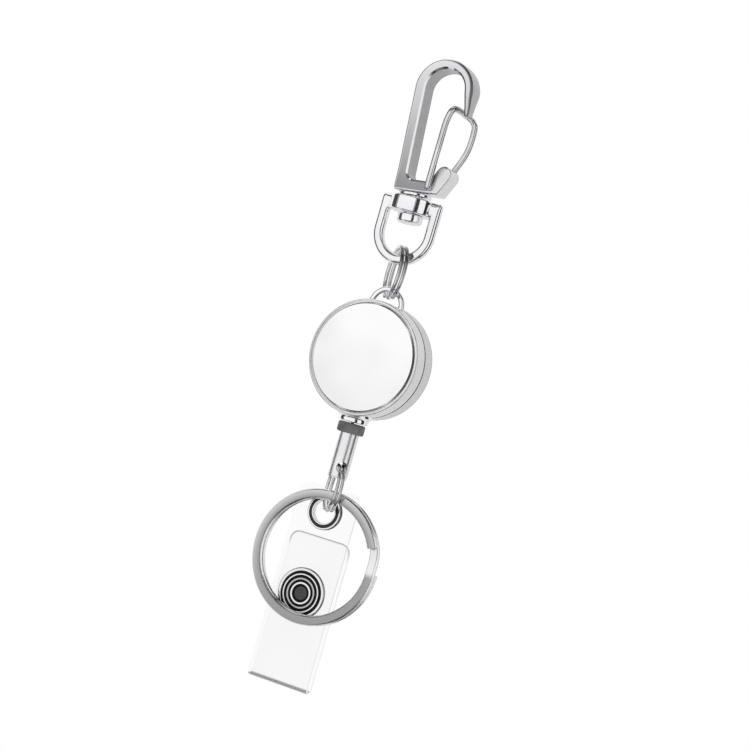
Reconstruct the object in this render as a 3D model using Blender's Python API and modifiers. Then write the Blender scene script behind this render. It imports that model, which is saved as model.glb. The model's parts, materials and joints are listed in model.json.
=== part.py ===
# Retractable badge reel: a snap hook on a swivel eye, a round reel on a split ring, and a
# pull cord whose ferrule carries a key ring and a clear snap strap.
# Metres, +Z up, front towards -Y. The part hangs from the inside of the crook, its origin.
import math

import bmesh
import bpy
from mathutils import Matrix, Vector

MM = 0.001

# Clearances
SEAT_GAP = 0.2 * MM
RUNNING_GAP = 0.3 * MM
LINK_GAP = 0.45 * MM
TURN_GAP = 0.2 * MM
MERGE = 0.00001

# Snap hook
HOOK_THICKNESS = 6.0 * MM
LEG_WIDTH = 2.9 * MM
NOSE_WIDTH = 2.2 * MM
HOOK_EDGE = 0.5 * MM
LEG_OFFSET = 2.0 * MM
CROOK_INNER_RADIUS = 5.2 * MM
CROOK_HEIGHT = 26.1 * MM
BASE_HEIGHT = 3.0 * MM
SLOT_CORNER = 2.0 * MM
NOSE_DROP = 5.8 * MM
NOSE_TIP_RADIUS = 0.6 * MM
NOSE_SLANT = 0.1 * MM
LUG_FOOT = 4.6 * MM
LUG_LENGTH = 8.0 * MM
LUG_WIDTH = 4.0 * MM
LUG_LEAN = math.radians(30)

# Wire gate
GATE_WIRE = 1.6 * MM
GATE_TIP_REACH = 2.0 * MM
GATE_CATCH = 1.4 * MM
GATE_BOW = 3.4 * MM

# Swivel
WASHER_THICKNESS = 0.7 * MM
WASHER_RADIUS = 4.2 * MM
RIVET_RADIUS = 1.75 * MM
RIVET_REACH = 2.2 * MM
RIVET_HEAD_RADIUS = 3.15 * MM
RIVET_HEAD_HEIGHT = 2.2 * MM
YOKE_WIDTH = 16.4 * MM
YOKE_BAR = 3.9 * MM
YOKE_SIDE = 8.7 * MM
YOKE_WIRE = 2.9 * MM
YOKE_EDGE = 1.0 * MM
YOKE_CORNER = 0.8 * MM
BOSS_RADIUS = 5.6 * MM

# Split rings of round wire
RING_TURN = math.radians(37)
RING_JOG = math.radians(36)
UPPER_RING_DIAMETER = 13.9 * MM
UPPER_RING_WIRE = 1.0 * MM
LOWER_RING_DIAMETER = 12.4 * MM
LOWER_RING_WIRE = 0.85 * MM

# Reel case
CASE_RADIUS = 14.5 * MM
CASE_DEPTH = 10.2 * MM
CASE_WALL = 0.7 * MM
CASE_EDGE = 0.7 * MM
SEAM_FROM_FRONT = 5.0 * MM
LIP_HEIGHT = 1.2 * MM
LIP_WALL = 0.6 * MM
CASE_RIM = 0.95 * MM
FACE_RECESS = 0.5 * MM
FACE_PROUD = 0.1 * MM
LUG_WIRE = 1.5 * MM
LUG_INNER_RADIUS = 3.35 * MM
LUG_SINK = 0.6 * MM

# Works inside the case
POST_RADIUS = 1.9 * MM
JOURNAL_RADIUS = 1.4 * MM
JOURNAL_LENGTH = 1.8 * MM
POST_FLANGE_RADIUS = 3.2 * MM
POST_FLANGE = 0.7 * MM
CORD_SPACE = 4.2 * MM
DRUM_WALL = 1.0 * MM
FLANGE = 0.9 * MM
FLANGE_CLEARANCE = 0.7 * MM
SPRING_COVER = 0.5 * MM
SPRING_STRIP = 0.3 * MM
SPRING_TURNS = 5
CORD_DIAMETER = 0.8 * MM
CORD_PITCH = 1.25 * MM
CORD_LAYERS = 1.2 * MM

# Nozzle and the cord's end
NOZZLE_RADIUS = 3.8 * MM
NOZZLE_FLARE = 1.0 * MM
NOZZLE_LIP = 1.5 * MM
NECK_RADIUS = 2.6 * MM
NECK_REACH = 0.9 * MM
NOZZLE_BORE = 1.0 * MM
STOPPER_RADIUS = 3.4 * MM
STOPPER_HEIGHT = 2.6 * MM
STOPPER_EDGE = 0.35 * MM
STOPPER_SOCKET = 0.6 * MM
FERRULE_RADIUS = 2.45 * MM
FERRULE_LENGTH = 12.0 * MM
FERRULE_WALL = 0.5 * MM
FERRULE_TOP = 0.8 * MM
FERRULE_HOLE_RADIUS = 1.45 * MM
FERRULE_HOLE_RISE = 2.8 * MM
CRIMP_RADIUS = 1.4 * MM
CRIMP_LENGTH = 2.4 * MM
CORD_CLEARANCE = 0.25 * MM

# Key ring
KEY_RING_DIAMETER = 33.6 * MM
KEY_RING_BAND = 2.5 * MM
KEY_RING_LAYER = 1.4 * MM
KEY_RING_EDGE = 0.35 * MM
KEY_RING_JOG = math.radians(24)
KEY_RING_BREAK = math.radians(12)

# Clear strap
STRAP_WIDTH = 16.8 * MM
STRAP_THICKNESS = 0.5 * MM
STRAP_CORNER = 2.5 * MM
STRAP_ABOVE_EYELET = 6.0 * MM
STRAP_BELOW_EYELET = 44.0 * MM
LEAF_SPACE = 2.0 * MM
FLAP_END_DROP = 6.3 * MM
EYELET_RADIUS = 4.5 * MM
EYELET_HOLE = 2.9 * MM
EYELET_WALL = 0.35 * MM
EYELET_FLANGE = 0.4 * MM
EYELET_SLACK = 1.9 * MM
KEY_TO_STRAP = 0.55 * MM
SNAP_DROP = 20.8 * MM
SNAP_RADIUS = 6.4 * MM
SNAP_FLANGE = 0.4 * MM
SNAP_RIDGE = 0.25 * MM
SNAP_POST_RADIUS = 1.1 * MM
SNAP_SOCKET_RADIUS = 4.8 * MM
SNAP_BALL_RADIUS = 1.7 * MM


def turned_seat(half_depth, ring_inner, ring_half_width, eye_inner):
    # Height a split ring needs over a round eye when its plane is turned from the eye's plane
    corner = (half_depth + ring_half_width * math.sin(RING_TURN)) / math.cos(RING_TURN)
    aside = corner * math.sin(RING_TURN) + ring_half_width * math.cos(RING_TURN)
    ring_drop = ring_inner - math.sqrt(ring_inner ** 2 - corner ** 2)
    eye_rise = eye_inner - math.sqrt(eye_inner ** 2 - aside ** 2)
    return RUNNING_GAP + ring_drop + eye_rise


# Levels along the hook's own axis, from the underside of its base
CROOK_X = CROOK_INNER_RADIUS - LEG_OFFSET
YOKE_TOP = -(WASHER_THICKNESS + 2 * RUNNING_GAP)
YOKE_ARC = YOKE_TOP - YOKE_SIDE
BEARING = (CROOK_X, CROOK_HEIGHT + CROOK_INNER_RADIUS)

# The hook leans until the crook's bearing stands straight above the eye's round end
LEAN = math.atan2(BEARING[0], BEARING[1] - YOKE_ARC)
ARC_DROP = math.hypot(BEARING[0], BEARING[1] - YOKE_ARC)

# Radii inside the case, from its wall inwards
FACE_RADIUS = CASE_RADIUS - CASE_RIM
LIP_RADIUS = CASE_RADIUS - CASE_WALL - SEAT_GAP
FLANGE_RADIUS = LIP_RADIUS - LIP_WALL - FLANGE_CLEARANCE
DRUM_RADIUS = FLANGE_RADIUS - CORD_SPACE

# Levels down the hanging chain, from the origin
YOKE_INNER = YOKE_WIDTH / 2 - YOKE_WIRE
BAIL_TOP_Z = -ARC_DROP - YOKE_INNER
BAIL_Z = BAIL_TOP_Z - YOKE_WIRE / 2
UPPER_INNER = UPPER_RING_DIAMETER / 2 - UPPER_RING_WIRE
UPPER_HALF_WIDTH = UPPER_RING_WIRE + TURN_GAP / 2
BAIL_SEAT = turned_seat((YOKE_WIRE - YOKE_EDGE) / 2, UPPER_INNER, UPPER_HALF_WIDTH, YOKE_INNER)
LUG_SEAT = turned_seat(LUG_WIRE / 4, UPPER_INNER, UPPER_HALF_WIDTH, LUG_INNER_RADIUS)
UPPER_RING_Z = BAIL_TOP_Z + BAIL_SEAT - UPPER_INNER
LUG_Z = UPPER_RING_Z - UPPER_INNER + LUG_SEAT - LUG_INNER_RADIUS
CASE_Z = LUG_Z + LUG_SINK - CASE_RADIUS
NOZZLE_Z = CASE_Z - CASE_RADIUS - NOZZLE_LIP
STOPPER_Z = NOZZLE_Z - SEAT_GAP
FERRULE_Z = STOPPER_Z - STOPPER_HEIGHT + STOPPER_SOCKET
HOLE_Z = FERRULE_Z - FERRULE_LENGTH + FERRULE_HOLE_RISE
LOWER_MID = (LOWER_RING_DIAMETER - LOWER_RING_WIRE) / 2
LOWER_INNER = LOWER_RING_DIAMETER / 2 - LOWER_RING_WIRE
HOLE_SAG = LOWER_MID - math.sqrt(LOWER_MID ** 2 - (FERRULE_RADIUS - FERRULE_WALL / 2) ** 2)
LOWER_RING_Z = HOLE_Z + HOLE_SAG - LOWER_MID

# Depths of the pieces that hang side by side on the lower ring
KEY_RING_DEPTH = 2 * KEY_RING_LAYER + TURN_GAP
EYELET_DEPTH = 2 * EYELET_FLANGE + STRAP_THICKNESS + 2 * SEAT_GAP
HUNG_DEPTH = KEY_RING_DEPTH + KEY_TO_STRAP + EYELET_DEPTH
KEY_RING_Y = KEY_RING_DEPTH / 2 - HUNG_DEPTH / 2
STRAP_Y = HUNG_DEPTH / 2 - EYELET_DEPTH / 2
KEY_RING_X = -KEY_RING_Y * math.tan(RING_TURN)
STRAP_X = -STRAP_Y * math.tan(RING_TURN)
LOWER_HALF_WIDTH = LOWER_RING_WIRE + TURN_GAP / 2
KEY_CORNER = HUNG_DEPTH / 2 / math.cos(RING_TURN) + LOWER_HALF_WIDTH * math.tan(RING_TURN)
KEY_SEAT = math.sqrt(LOWER_INNER ** 2 - KEY_CORNER ** 2) - LINK_GAP
KEY_RING_Z = LOWER_RING_Z - KEY_SEAT - KEY_RING_DIAMETER / 2 + KEY_RING_BAND
EYELET_Z = LOWER_RING_Z - LOWER_INNER - EYELET_HOLE + EYELET_SLACK
FOLD_RADIUS = LEAF_SPACE / 2
FOLD_Z = EYELET_Z - STRAP_BELOW_EYELET + FOLD_RADIUS + STRAP_THICKNESS
FLAP_Y = STRAP_Y + STRAP_THICKNESS + LEAF_SPACE


def clear_scene():
    for item in list(bpy.data.objects):
        bpy.data.objects.remove(item, do_unlink=True)


def collection(name):
    made = bpy.data.collections.new(name)
    bpy.context.scene.collection.children.link(made)
    return made


def finish(name, colour, roughness, metallic):
    made = bpy.data.materials.new(name)
    made.use_nodes = True
    shader = made.node_tree.nodes["Principled BSDF"]
    shader.inputs["Base Color"].default_value = (*colour, 1.0)
    shader.inputs["Roughness"].default_value = roughness
    shader.inputs["Metallic"].default_value = metallic
    made.diffuse_color = (*colour, 1.0)
    return made


clear_scene()
PARTS = collection("badge_reel")
CUTTERS = collection("cutters")
CHROME = finish("bright_chrome", (0.86, 0.86, 0.87), 0.08, 1.0)
SATIN = finish("satin_nickel", (0.62, 0.62, 0.63), 0.28, 1.0)
MIRROR = finish("mirror_face", (0.93, 0.93, 0.94), 0.05, 1.0)
RUBBER = finish("black_rubber", (0.03, 0.03, 0.03), 0.6, 0.0)
VINYL = finish("clear_vinyl", (0.93, 0.94, 0.95), 0.15, 0.0)
MOULDING = finish("white_moulding", (0.75, 0.75, 0.72), 0.4, 0.0)
STEEL = finish("spring_steel", (0.4, 0.42, 0.45), 0.3, 1.0)
CORD = finish("black_cord", (0.02, 0.02, 0.02), 0.5, 0.0)


def pivot(name, place, parent=None, turn=(0, 0, 0)):
    made = bpy.data.objects.new(name, None)
    made.empty_display_size = 3 * MM
    made.location = place
    made.rotation_euler = turn
    made.parent = parent
    PARTS.objects.link(made)
    return made


def place_object(name, data, parent, material, group=PARTS):
    made = bpy.data.objects.new(name, data)
    made.parent = parent
    group.objects.link(made)
    if material is None:
        made.hide_render = True
        made.display_type = "WIRE"
    else:
        made.data.materials.append(material)
    return made


def mesh_from_curve(name, curve, parent, material, group):
    # The curve's own caps are loose, so they are welded before anything is cut or rounded
    guide = bpy.data.objects.new(name + "_guide", curve)
    group.objects.link(guide)
    bpy.context.view_layer.update()
    graph = bpy.context.evaluated_depsgraph_get()
    mesh = bpy.data.meshes.new_from_object(guide.evaluated_get(graph))
    bpy.data.objects.remove(guide, do_unlink=True)
    bpy.data.curves.remove(curve)
    shape = bmesh.new()
    shape.from_mesh(mesh)
    bmesh.ops.remove_doubles(shape, verts=shape.verts, dist=MERGE)
    bmesh.ops.recalc_face_normals(shape, faces=shape.faces)
    shape.to_mesh(mesh)
    shape.free()
    mesh.materials.clear()
    mesh.shade_smooth()
    mesh.set_sharp_from_angle(angle=math.radians(35))
    return place_object(name, mesh, parent, material, group)


def add_spline(curve, points, closed):
    spline = curve.splines.new("POLY")
    spline.points.add(len(points) - 1)
    for point, target in zip(spline.points, points):
        target = tuple(target) + (0.0,) * (3 - len(target))
        point.co = (*target, 1.0)
    spline.use_cyclic_u = closed


def plate(name, outlines, thickness, parent, material, group=PARTS, facing="front"):
    # Flat outlines in (x, z), holes included, thickened evenly about the front plane
    curve = bpy.data.curves.new(name, "CURVE")
    curve.dimensions = "2D"
    curve.fill_mode = "BOTH"
    curve.extrude = thickness / 2
    for outline in outlines:
        add_spline(curve, outline, True)
    made = mesh_from_curve(name, curve, parent, material, group)
    if facing == "front":
        made.data.transform(Matrix.Rotation(math.pi / 2, 4, "X"))
    else:
        made.data.transform(Matrix.Rotation(math.pi / 2, 4, "X"))
        made.data.transform(Matrix.Rotation(math.pi / 2, 4, "Z"))
    return made


def wire(name, points, diameter, parent, material, sides=2, group=PARTS):
    curve = bpy.data.curves.new(name, "CURVE")
    curve.dimensions = "3D"
    curve.bevel_depth = diameter / 2
    curve.bevel_resolution = sides
    curve.use_fill_caps = True
    add_spline(curve, points, False)
    return mesh_from_curve(name, curve, parent, material, group)


def turned(name, profile, parent, material, closed=False, steps=40, front=False, group=PARTS):
    # Profile of (radius, height), run down its outer side; front turns the axis to -Y
    mesh = bpy.data.meshes.new(name)
    count = len(profile)
    edges = [(index, index + 1) for index in range(count - 1)]
    if closed:
        edges.append((count - 1, 0))
    mesh.from_pydata([(radius, 0, height) for radius, height in profile], edges, [])
    made = place_object(name, mesh, parent, material, group)
    screw = made.modifiers.new("turn", "SCREW")
    screw.steps = steps
    screw.render_steps = steps
    screw.use_merge_vertices = True
    screw.merge_threshold = MERGE
    screw.use_smooth_shade = True
    if front:
        made.rotation_euler = (math.pi / 2, 0, 0)
    return made


def boolean(target, other, operation):
    change = target.modifiers.new(operation.lower(), "BOOLEAN")
    change.object = other
    change.operation = operation
    change.solver = "EXACT"


def rounded(target, width, segments=2):
    bevel = target.modifiers.new("edge", "BEVEL")
    bevel.width = width
    bevel.segments = segments
    bevel.limit_method = "ANGLE"
    bevel.angle_limit = math.radians(50)


def rod(name, start, end, radius, parent, steps=32, group=None):
    # A plain round cutter between two points
    start = Vector(start)
    end = Vector(end)
    shape = bmesh.new()
    length = (end - start).length
    bmesh.ops.create_cone(shape, cap_ends=True, segments=steps, radius1=radius, radius2=radius,
                          depth=length)
    mesh = bpy.data.meshes.new(name)
    shape.to_mesh(mesh)
    shape.free()
    made = place_object(name, mesh, parent, None, group or CUTTERS)
    made.location = (start + end) / 2
    made.rotation_euler = (end - start).to_track_quat("Z", "Y").to_euler()
    return made


def arc(centre, radius, start, end, count):
    angles = [math.radians(start + (end - start) * step / count) for step in range(count + 1)]
    return [(centre[0] + radius * math.cos(a), centre[1] + radius * math.sin(a)) for a in angles]


def circle(radius, count=40, centre=(0, 0)):
    return arc(centre, radius, 0, 360 - 360 / count, count - 1)


def smooth_path(points, steps):
    # Catmull-Rom curve through the points, read at even steps of each span
    ends = [points[0]] + list(points) + [points[-1]]
    path = []
    for a, b, c, d in zip(ends, ends[1:], ends[2:], ends[3:]):
        a, b, c, d = (Vector(point) for point in (a, b, c, d))
        for step in range(steps):
            t = step / steps
            path.append(0.5 * (2 * b + (c - a) * t + (2 * a - 5 * b + 4 * c - d) * t ** 2
                               + (3 * b - 3 * c + d - a) * t ** 3))
    path.append(Vector(points[-1]))
    return path


def ease(value):
    value = min(max(value, 0.0), 1.0)
    return value * value * (3 - 2 * value)


def hook_body(parent):
    inner = CROOK_INNER_RADIUS
    outer = inner + (LEG_WIDTH + NOSE_WIDTH) / 2
    centre = (CROOK_X, CROOK_HEIGHT)
    outer_centre = (CROOK_X - (LEG_WIDTH - NOSE_WIDTH) / 2, CROOK_HEIGHT)
    lug_up = Vector((math.sin(LUG_LEAN), math.cos(LUG_LEAN)))
    lug_side = Vector((lug_up.y, -lug_up.x)) * LUG_WIDTH / 2
    lug_end = Vector((LUG_FOOT, 0)) + lug_up * (LUG_LENGTH - LUG_WIDTH / 2)
    right_foot = lug_end + lug_side
    right_foot = right_foot - lug_up * (right_foot.y / lug_up.y)
    left_foot = lug_end - lug_side
    left_foot = left_foot - lug_up * ((left_foot.y - BASE_HEIGHT) / lug_up.y)
    lug_angle = math.degrees(LUG_LEAN)
    nose_x = CROOK_X + inner + NOSE_WIDTH / 2 + NOSE_SLANT
    nose = (nose_x, CROOK_HEIGHT - NOSE_DROP + NOSE_TIP_RADIUS)
    slot = (SLOT_CORNER - LEG_OFFSET, BASE_HEIGHT + SLOT_CORNER)
    outline = [(-LEG_OFFSET - LEG_WIDTH, 0), tuple(right_foot)]
    outline += arc(lug_end, LUG_WIDTH / 2, -lug_angle, 180 - lug_angle, 10)
    outline += [tuple(left_foot)]
    outline += arc(slot, SLOT_CORNER, 270, 180, 5)
    outline += arc(centre, inner, 180, 0, 16)
    outline += arc(nose, NOSE_TIP_RADIUS, 180, 360, 6)
    outline += arc(outer_centre, outer, 0, 180, 20)
    made = plate("hook_body", [outline], HOOK_THICKNESS, parent, SATIN)
    rounded(made, HOOK_EDGE)
    reach = HOOK_THICKNESS
    gate_bore = GATE_WIRE / 2 + RUNNING_GAP / 2
    x, z = gate_pivot_point()
    boolean(made, rod("gate_bore", (x, -reach, z), (x, reach, z), gate_bore, parent), "DIFFERENCE")
    socket = rod("rivet_socket", (0, 0, -BASE_HEIGHT), (0, 0, RIVET_REACH + SEAT_GAP),
                 RIVET_RADIUS + SEAT_GAP, parent)
    boolean(made, socket, "DIFFERENCE")
    return made


def gate_pivot_point():
    return (LUG_FOOT - SEAT_GAP, BASE_HEIGHT / 2)


def gate_wire(parent):
    # One bent wire: both tips lie on the hinge line, the loop rests inside the nose
    x, z = gate_pivot_point()
    side = HOOK_THICKNESS / 2 + RUNNING_GAP + GATE_WIRE / 2
    top = CROOK_HEIGHT - NOSE_DROP + GATE_CATCH - z
    nose_inner = CROOK_X + CROOK_INNER_RADIUS + NOSE_SLANT
    catch = nose_inner - GATE_WIRE / 2 - RUNNING_GAP - x
    lug_top = LUG_FOOT + math.sin(LUG_LEAN) * LUG_LENGTH - x
    tip = side - GATE_TIP_REACH
    bend = GATE_WIRE * 0.6
    points = [(0, -tip, 0), (0, bend - side, 0), (bend / 3, -side, bend),
              (catch * 0.45, -side, top * 0.55), (catch - GATE_WIRE * 0.95, -side, top - GATE_WIRE * 2),
              (catch - GATE_WIRE / 3, -side * 0.75, top - GATE_WIRE * 0.2), (catch, 0, top),
              (catch + GATE_WIRE * 0.1, side * 0.75, top - GATE_WIRE * 0.1),
              (catch + GATE_WIRE * 0.55, side, top - GATE_WIRE * 0.35),
              (catch + GATE_BOW * 0.75, side, top - GATE_WIRE),
              (catch + GATE_BOW, side, top - GATE_WIRE * 2.2),
              (lug_top + GATE_WIRE, side, top * 0.55), (lug_top * 0.75, side, top * 0.28),
              (bend / 2, side, bend), (0, side - bend, 0), (0, tip, 0)]
    return wire("gate_wire", smooth_path(points, 4), GATE_WIRE, parent, CHROME)


def swivel_washer(parent):
    inner = RIVET_RADIUS + SEAT_GAP
    top = -RUNNING_GAP
    bottom = top - WASHER_THICKNESS
    profile = [(inner, top), (WASHER_RADIUS, top), (WASHER_RADIUS, bottom), (inner, bottom)]
    return turned("swivel_washer", profile, parent, STEEL, closed=True, steps=32)


def swivel_rivet(parent):
    shoulder = YOKE_TOP - YOKE_BAR - RUNNING_GAP
    bottom = shoulder - RIVET_HEAD_HEIGHT
    edge = RIVET_HEAD_HEIGHT / 4
    profile = [(0, RIVET_REACH), (RIVET_RADIUS, RIVET_REACH), (RIVET_RADIUS, shoulder),
               (RIVET_HEAD_RADIUS - edge, shoulder), (RIVET_HEAD_RADIUS, shoulder - edge),
               (RIVET_HEAD_RADIUS, bottom + edge), (RIVET_HEAD_RADIUS - edge, bottom), (0, bottom)]
    return turned("swivel_rivet", profile, parent, CHROME, steps=32)


def swivel_yoke(parent):
    # D ring with a flat bar on top, its top face at the pivot's height
    half = YOKE_WIDTH / 2
    outer = arc((0, -YOKE_SIDE), half, 180, 360, 24)
    outer += arc((half - YOKE_CORNER, -YOKE_CORNER), YOKE_CORNER, 0, 90, 3)
    outer += arc((YOKE_CORNER - half, -YOKE_CORNER), YOKE_CORNER, 90, 180, 3)
    inner = arc((0, -YOKE_SIDE), YOKE_INNER, 180, 360, 24)
    inner += [(YOKE_INNER, -YOKE_BAR), (-YOKE_INNER, -YOKE_BAR)]
    made = plate("swivel_yoke", [outer, inner], YOKE_WIRE, parent, CHROME)
    rounded(made, YOKE_EDGE)
    edge = YOKE_EDGE / 2
    boss = [(0, 0), (BOSS_RADIUS - edge, 0), (BOSS_RADIUS, -edge), (BOSS_RADIUS, edge - YOKE_BAR),
            (BOSS_RADIUS - edge, -YOKE_BAR), (0, -YOKE_BAR)]
    boolean(made, turned("boss", boss, parent, None, steps=32, group=CUTTERS), "UNION")
    bore = rod("boss_bore", (0, 0, YOKE_BAR), (0, 0, -2 * YOKE_BAR), RIVET_RADIUS + RUNNING_GAP, parent)
    boolean(made, bore, "DIFFERENCE")
    return made


def split_ring(name, diameter, wire_size, start, parent, centre_z):
    # Two turns side by side; the wire crosses from one to the other over the jog
    radius = (diameter - wire_size) / 2
    shift = (wire_size + TURN_GAP) / 2
    count = 60
    points = []
    for step in range(count + 1):
        run = RING_JOG / 2 + (4 * math.pi - RING_JOG) * step / count
        side = 2 * ease((run - 2 * math.pi) / RING_JOG + 0.5) - 1
        angle = start + run
        points.append((side * shift, radius * math.cos(angle), centre_z + radius * math.sin(angle)))
    return wire(name, points, wire_size, parent, CHROME)


def front_cover(parent):
    front = CASE_DEPTH / 2
    seam = front - SEAM_FROM_FRONT
    recess = front - FACE_RECESS
    pocket = FACE_RADIUS + SEAT_GAP
    inner = CASE_RADIUS - CASE_WALL
    profile = [(0, recess), (pocket, recess), (pocket, front)]
    profile += arc((CASE_RADIUS - CASE_EDGE, front - CASE_EDGE), CASE_EDGE, 90, 0, 4)
    profile += [(CASE_RADIUS, seam + SEAT_GAP / 2), (inner, seam + SEAT_GAP / 2),
                (inner, recess - CASE_WALL), (0, recess - CASE_WALL)]
    made = turned("front_cover", profile, parent, CHROME, steps=56, front=True)
    boolean(made, rod("front_neck_hole", (0, 0, -CASE_RADIUS / 2), (0, 0, -2 * CASE_RADIUS),
                      NECK_RADIUS + SEAT_GAP, parent), "DIFFERENCE")
    return made


def face_plate(parent):
    back = CASE_DEPTH / 2 - FACE_RECESS + SEAT_GAP
    front = CASE_DEPTH / 2 + FACE_PROUD
    edge = (front - back) / 2
    profile = [(0, front), (FACE_RADIUS - edge, front), (FACE_RADIUS, back + edge),
               (FACE_RADIUS, back), (0, back)]
    return turned("face_plate", profile, parent, MIRROR, steps=56, front=True)


def back_cover(parent):
    back = -CASE_DEPTH / 2
    seam = CASE_DEPTH / 2 - SEAM_FROM_FRONT - SEAT_GAP / 2
    floor = back + CASE_WALL
    lip_inner = LIP_RADIUS - LIP_WALL
    bore = JOURNAL_RADIUS + SEAT_GAP
    profile = [(bore, floor), (lip_inner, floor), (lip_inner, seam + LIP_HEIGHT),
               (LIP_RADIUS, seam + LIP_HEIGHT), (LIP_RADIUS, seam), (CASE_RADIUS, seam)]
    profile += arc((CASE_RADIUS - CASE_EDGE, back + CASE_EDGE), CASE_EDGE, 0, -90, 4)
    profile += [(bore, back)]
    made = turned("back_cover", profile, parent, CHROME, closed=True, steps=56, front=True)
    boolean(made, rod("back_neck_hole", (0, 0, -CASE_RADIUS / 2), (0, 0, -2 * CASE_RADIUS),
                      NECK_RADIUS + SEAT_GAP, parent), "DIFFERENCE")
    return made


def lug_loop(parent):
    # Wire arch whose feet stand on the case wall
    radius = LUG_INNER_RADIUS + LUG_WIRE / 2
    arch = [(x, 0, z) for x, z in arc((0, 0), radius, 180, 0, 16)]
    sink = LUG_SINK + CASE_RADIUS / 4
    points = [(-radius, 0, -sink)] + arch + [(radius, 0, -sink)]
    made = wire("lug_loop", points, LUG_WIRE, parent, CHROME)
    centre = CASE_Z - LUG_Z
    boolean(made, rod("lug_saddle", (0, -CASE_DEPTH, centre), (0, CASE_DEPTH, centre),
                      CASE_RADIUS + SEAT_GAP, parent, steps=112), "DIFFERENCE")
    return made


def nozzle(parent):
    # A flared spout saddled on the round wall, with a neck that passes through it
    lip = -CASE_RADIUS - NOZZLE_LIP
    flare = arc((NOZZLE_RADIUS + NOZZLE_FLARE * 2, lip + NOZZLE_LIP / 2), NOZZLE_FLARE * 2, 120, 180, 5)
    edge = NOZZLE_LIP / 4
    profile = [(0, flare[0][1])] + flare
    profile += [(NOZZLE_RADIUS, lip + edge), (NOZZLE_RADIUS - edge, lip), (0, lip)]
    made = turned("nozzle", profile, parent, CHROME, steps=32)
    saddle = rod("nozzle_saddle", (0, -CASE_DEPTH, 0), (0, CASE_DEPTH, 0), CASE_RADIUS + SEAT_GAP,
                 parent, steps=112)
    boolean(made, saddle, "DIFFERENCE")
    neck = rod("nozzle_neck", (0, 0, lip + NOZZLE_LIP / 2),
               (0, 0, -CASE_RADIUS + CASE_WALL + NECK_REACH), NECK_RADIUS, parent)
    boolean(made, neck, "UNION")
    bore = rod("nozzle_bore", (0, 0, -CASE_RADIUS / 2), (0, 0, lip - NOZZLE_LIP), NOZZLE_BORE, parent,
               steps=20)
    boolean(made, bore, "DIFFERENCE")
    return made


def works_levels():
    # Heights inside the case, front positive: ceiling, floor, spool front and spool rear
    ceiling = CASE_DEPTH / 2 - FACE_RECESS - CASE_WALL
    floor = CASE_WALL - CASE_DEPTH / 2
    spool_front = ceiling - 2 * RUNNING_GAP
    spool_rear = floor + POST_FLANGE + SPRING_COVER + RUNNING_GAP
    return ceiling, floor, spool_front, spool_rear


def centre_post(parent):
    # Fixed arbor, staked flush in the back cover
    ceiling, floor, spool_front, spool_rear = works_levels()
    back = SEAT_GAP / 2 - CASE_DEPTH / 2
    foot = floor + SEAT_GAP
    tip = ceiling - RUNNING_GAP
    step = tip - JOURNAL_LENGTH
    profile = [(0, tip), (JOURNAL_RADIUS, tip), (JOURNAL_RADIUS, step), (POST_RADIUS, step),
               (POST_RADIUS, foot + POST_FLANGE), (POST_FLANGE_RADIUS, foot + POST_FLANGE),
               (POST_FLANGE_RADIUS, foot), (JOURNAL_RADIUS, foot), (JOURNAL_RADIUS, back), (0, back)]
    return turned("centre_post", profile, parent, STEEL, steps=24, front=True)


def spool(parent):
    ceiling, floor, front, rear = works_levels()
    bore = JOURNAL_RADIUS + RUNNING_GAP
    inner = DRUM_RADIUS - DRUM_WALL
    profile = [(bore, front), (FLANGE_RADIUS, front), (FLANGE_RADIUS, front - FLANGE),
               (DRUM_RADIUS, front - FLANGE), (DRUM_RADIUS, rear + FLANGE),
               (FLANGE_RADIUS, rear + FLANGE), (FLANGE_RADIUS, rear), (inner, rear),
               (inner, front - FLANGE), (bore, front - FLANGE)]
    return turned("spool", profile, parent, MOULDING, closed=True, steps=40, front=True)


def spring_cover(parent):
    ceiling, floor, front, rear = works_levels()
    top = rear - SEAT_GAP
    bore = POST_FLANGE_RADIUS + RUNNING_GAP
    profile = [(bore, top), (DRUM_RADIUS, top), (DRUM_RADIUS, top - SPRING_COVER),
               (bore, top - SPRING_COVER)]
    return turned("spring_cover", profile, parent, STEEL, closed=True, steps=32, front=True)


def spiral_spring(parent):
    # Flat strip wound from the arbor out to the drum's inner wall
    ceiling, floor, front, rear = works_levels()
    width = front - FLANGE - rear - 2 * RUNNING_GAP
    middle = (front - FLANGE + rear) / 2
    first = POST_RADIUS + RUNNING_GAP + SPRING_STRIP / 2
    last = DRUM_RADIUS - DRUM_WALL - RUNNING_GAP - SPRING_STRIP / 2
    count = SPRING_TURNS * 20
    points = []
    for step in range(count + 1):
        angle = 2 * math.pi * SPRING_TURNS * step / count
        radius = first + (last - first) * step / count
        points.append((radius * math.cos(angle), radius * math.sin(angle), middle))
    curve = bpy.data.curves.new("spiral_spring", "CURVE")
    curve.dimensions = "3D"
    curve.twist_mode = "Z_UP"
    curve.bevel_mode = "ROUND"
    curve.bevel_depth = SPRING_STRIP / 2
    curve.bevel_resolution = 0
    curve.extrude = (width - SPRING_STRIP) / 2
    curve.use_fill_caps = True
    add_spline(curve, points, False)
    made = mesh_from_curve("spiral_spring", curve, parent, STEEL, PARTS)
    made.data.transform(Matrix.Rotation(math.pi / 2, 4, "X"))
    return made


def winding_levels():
    core = DRUM_RADIUS + SEAT_GAP
    layer = core + CORD_LAYERS + SEAT_GAP + CORD_DIAMETER / 2
    return core, layer


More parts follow.
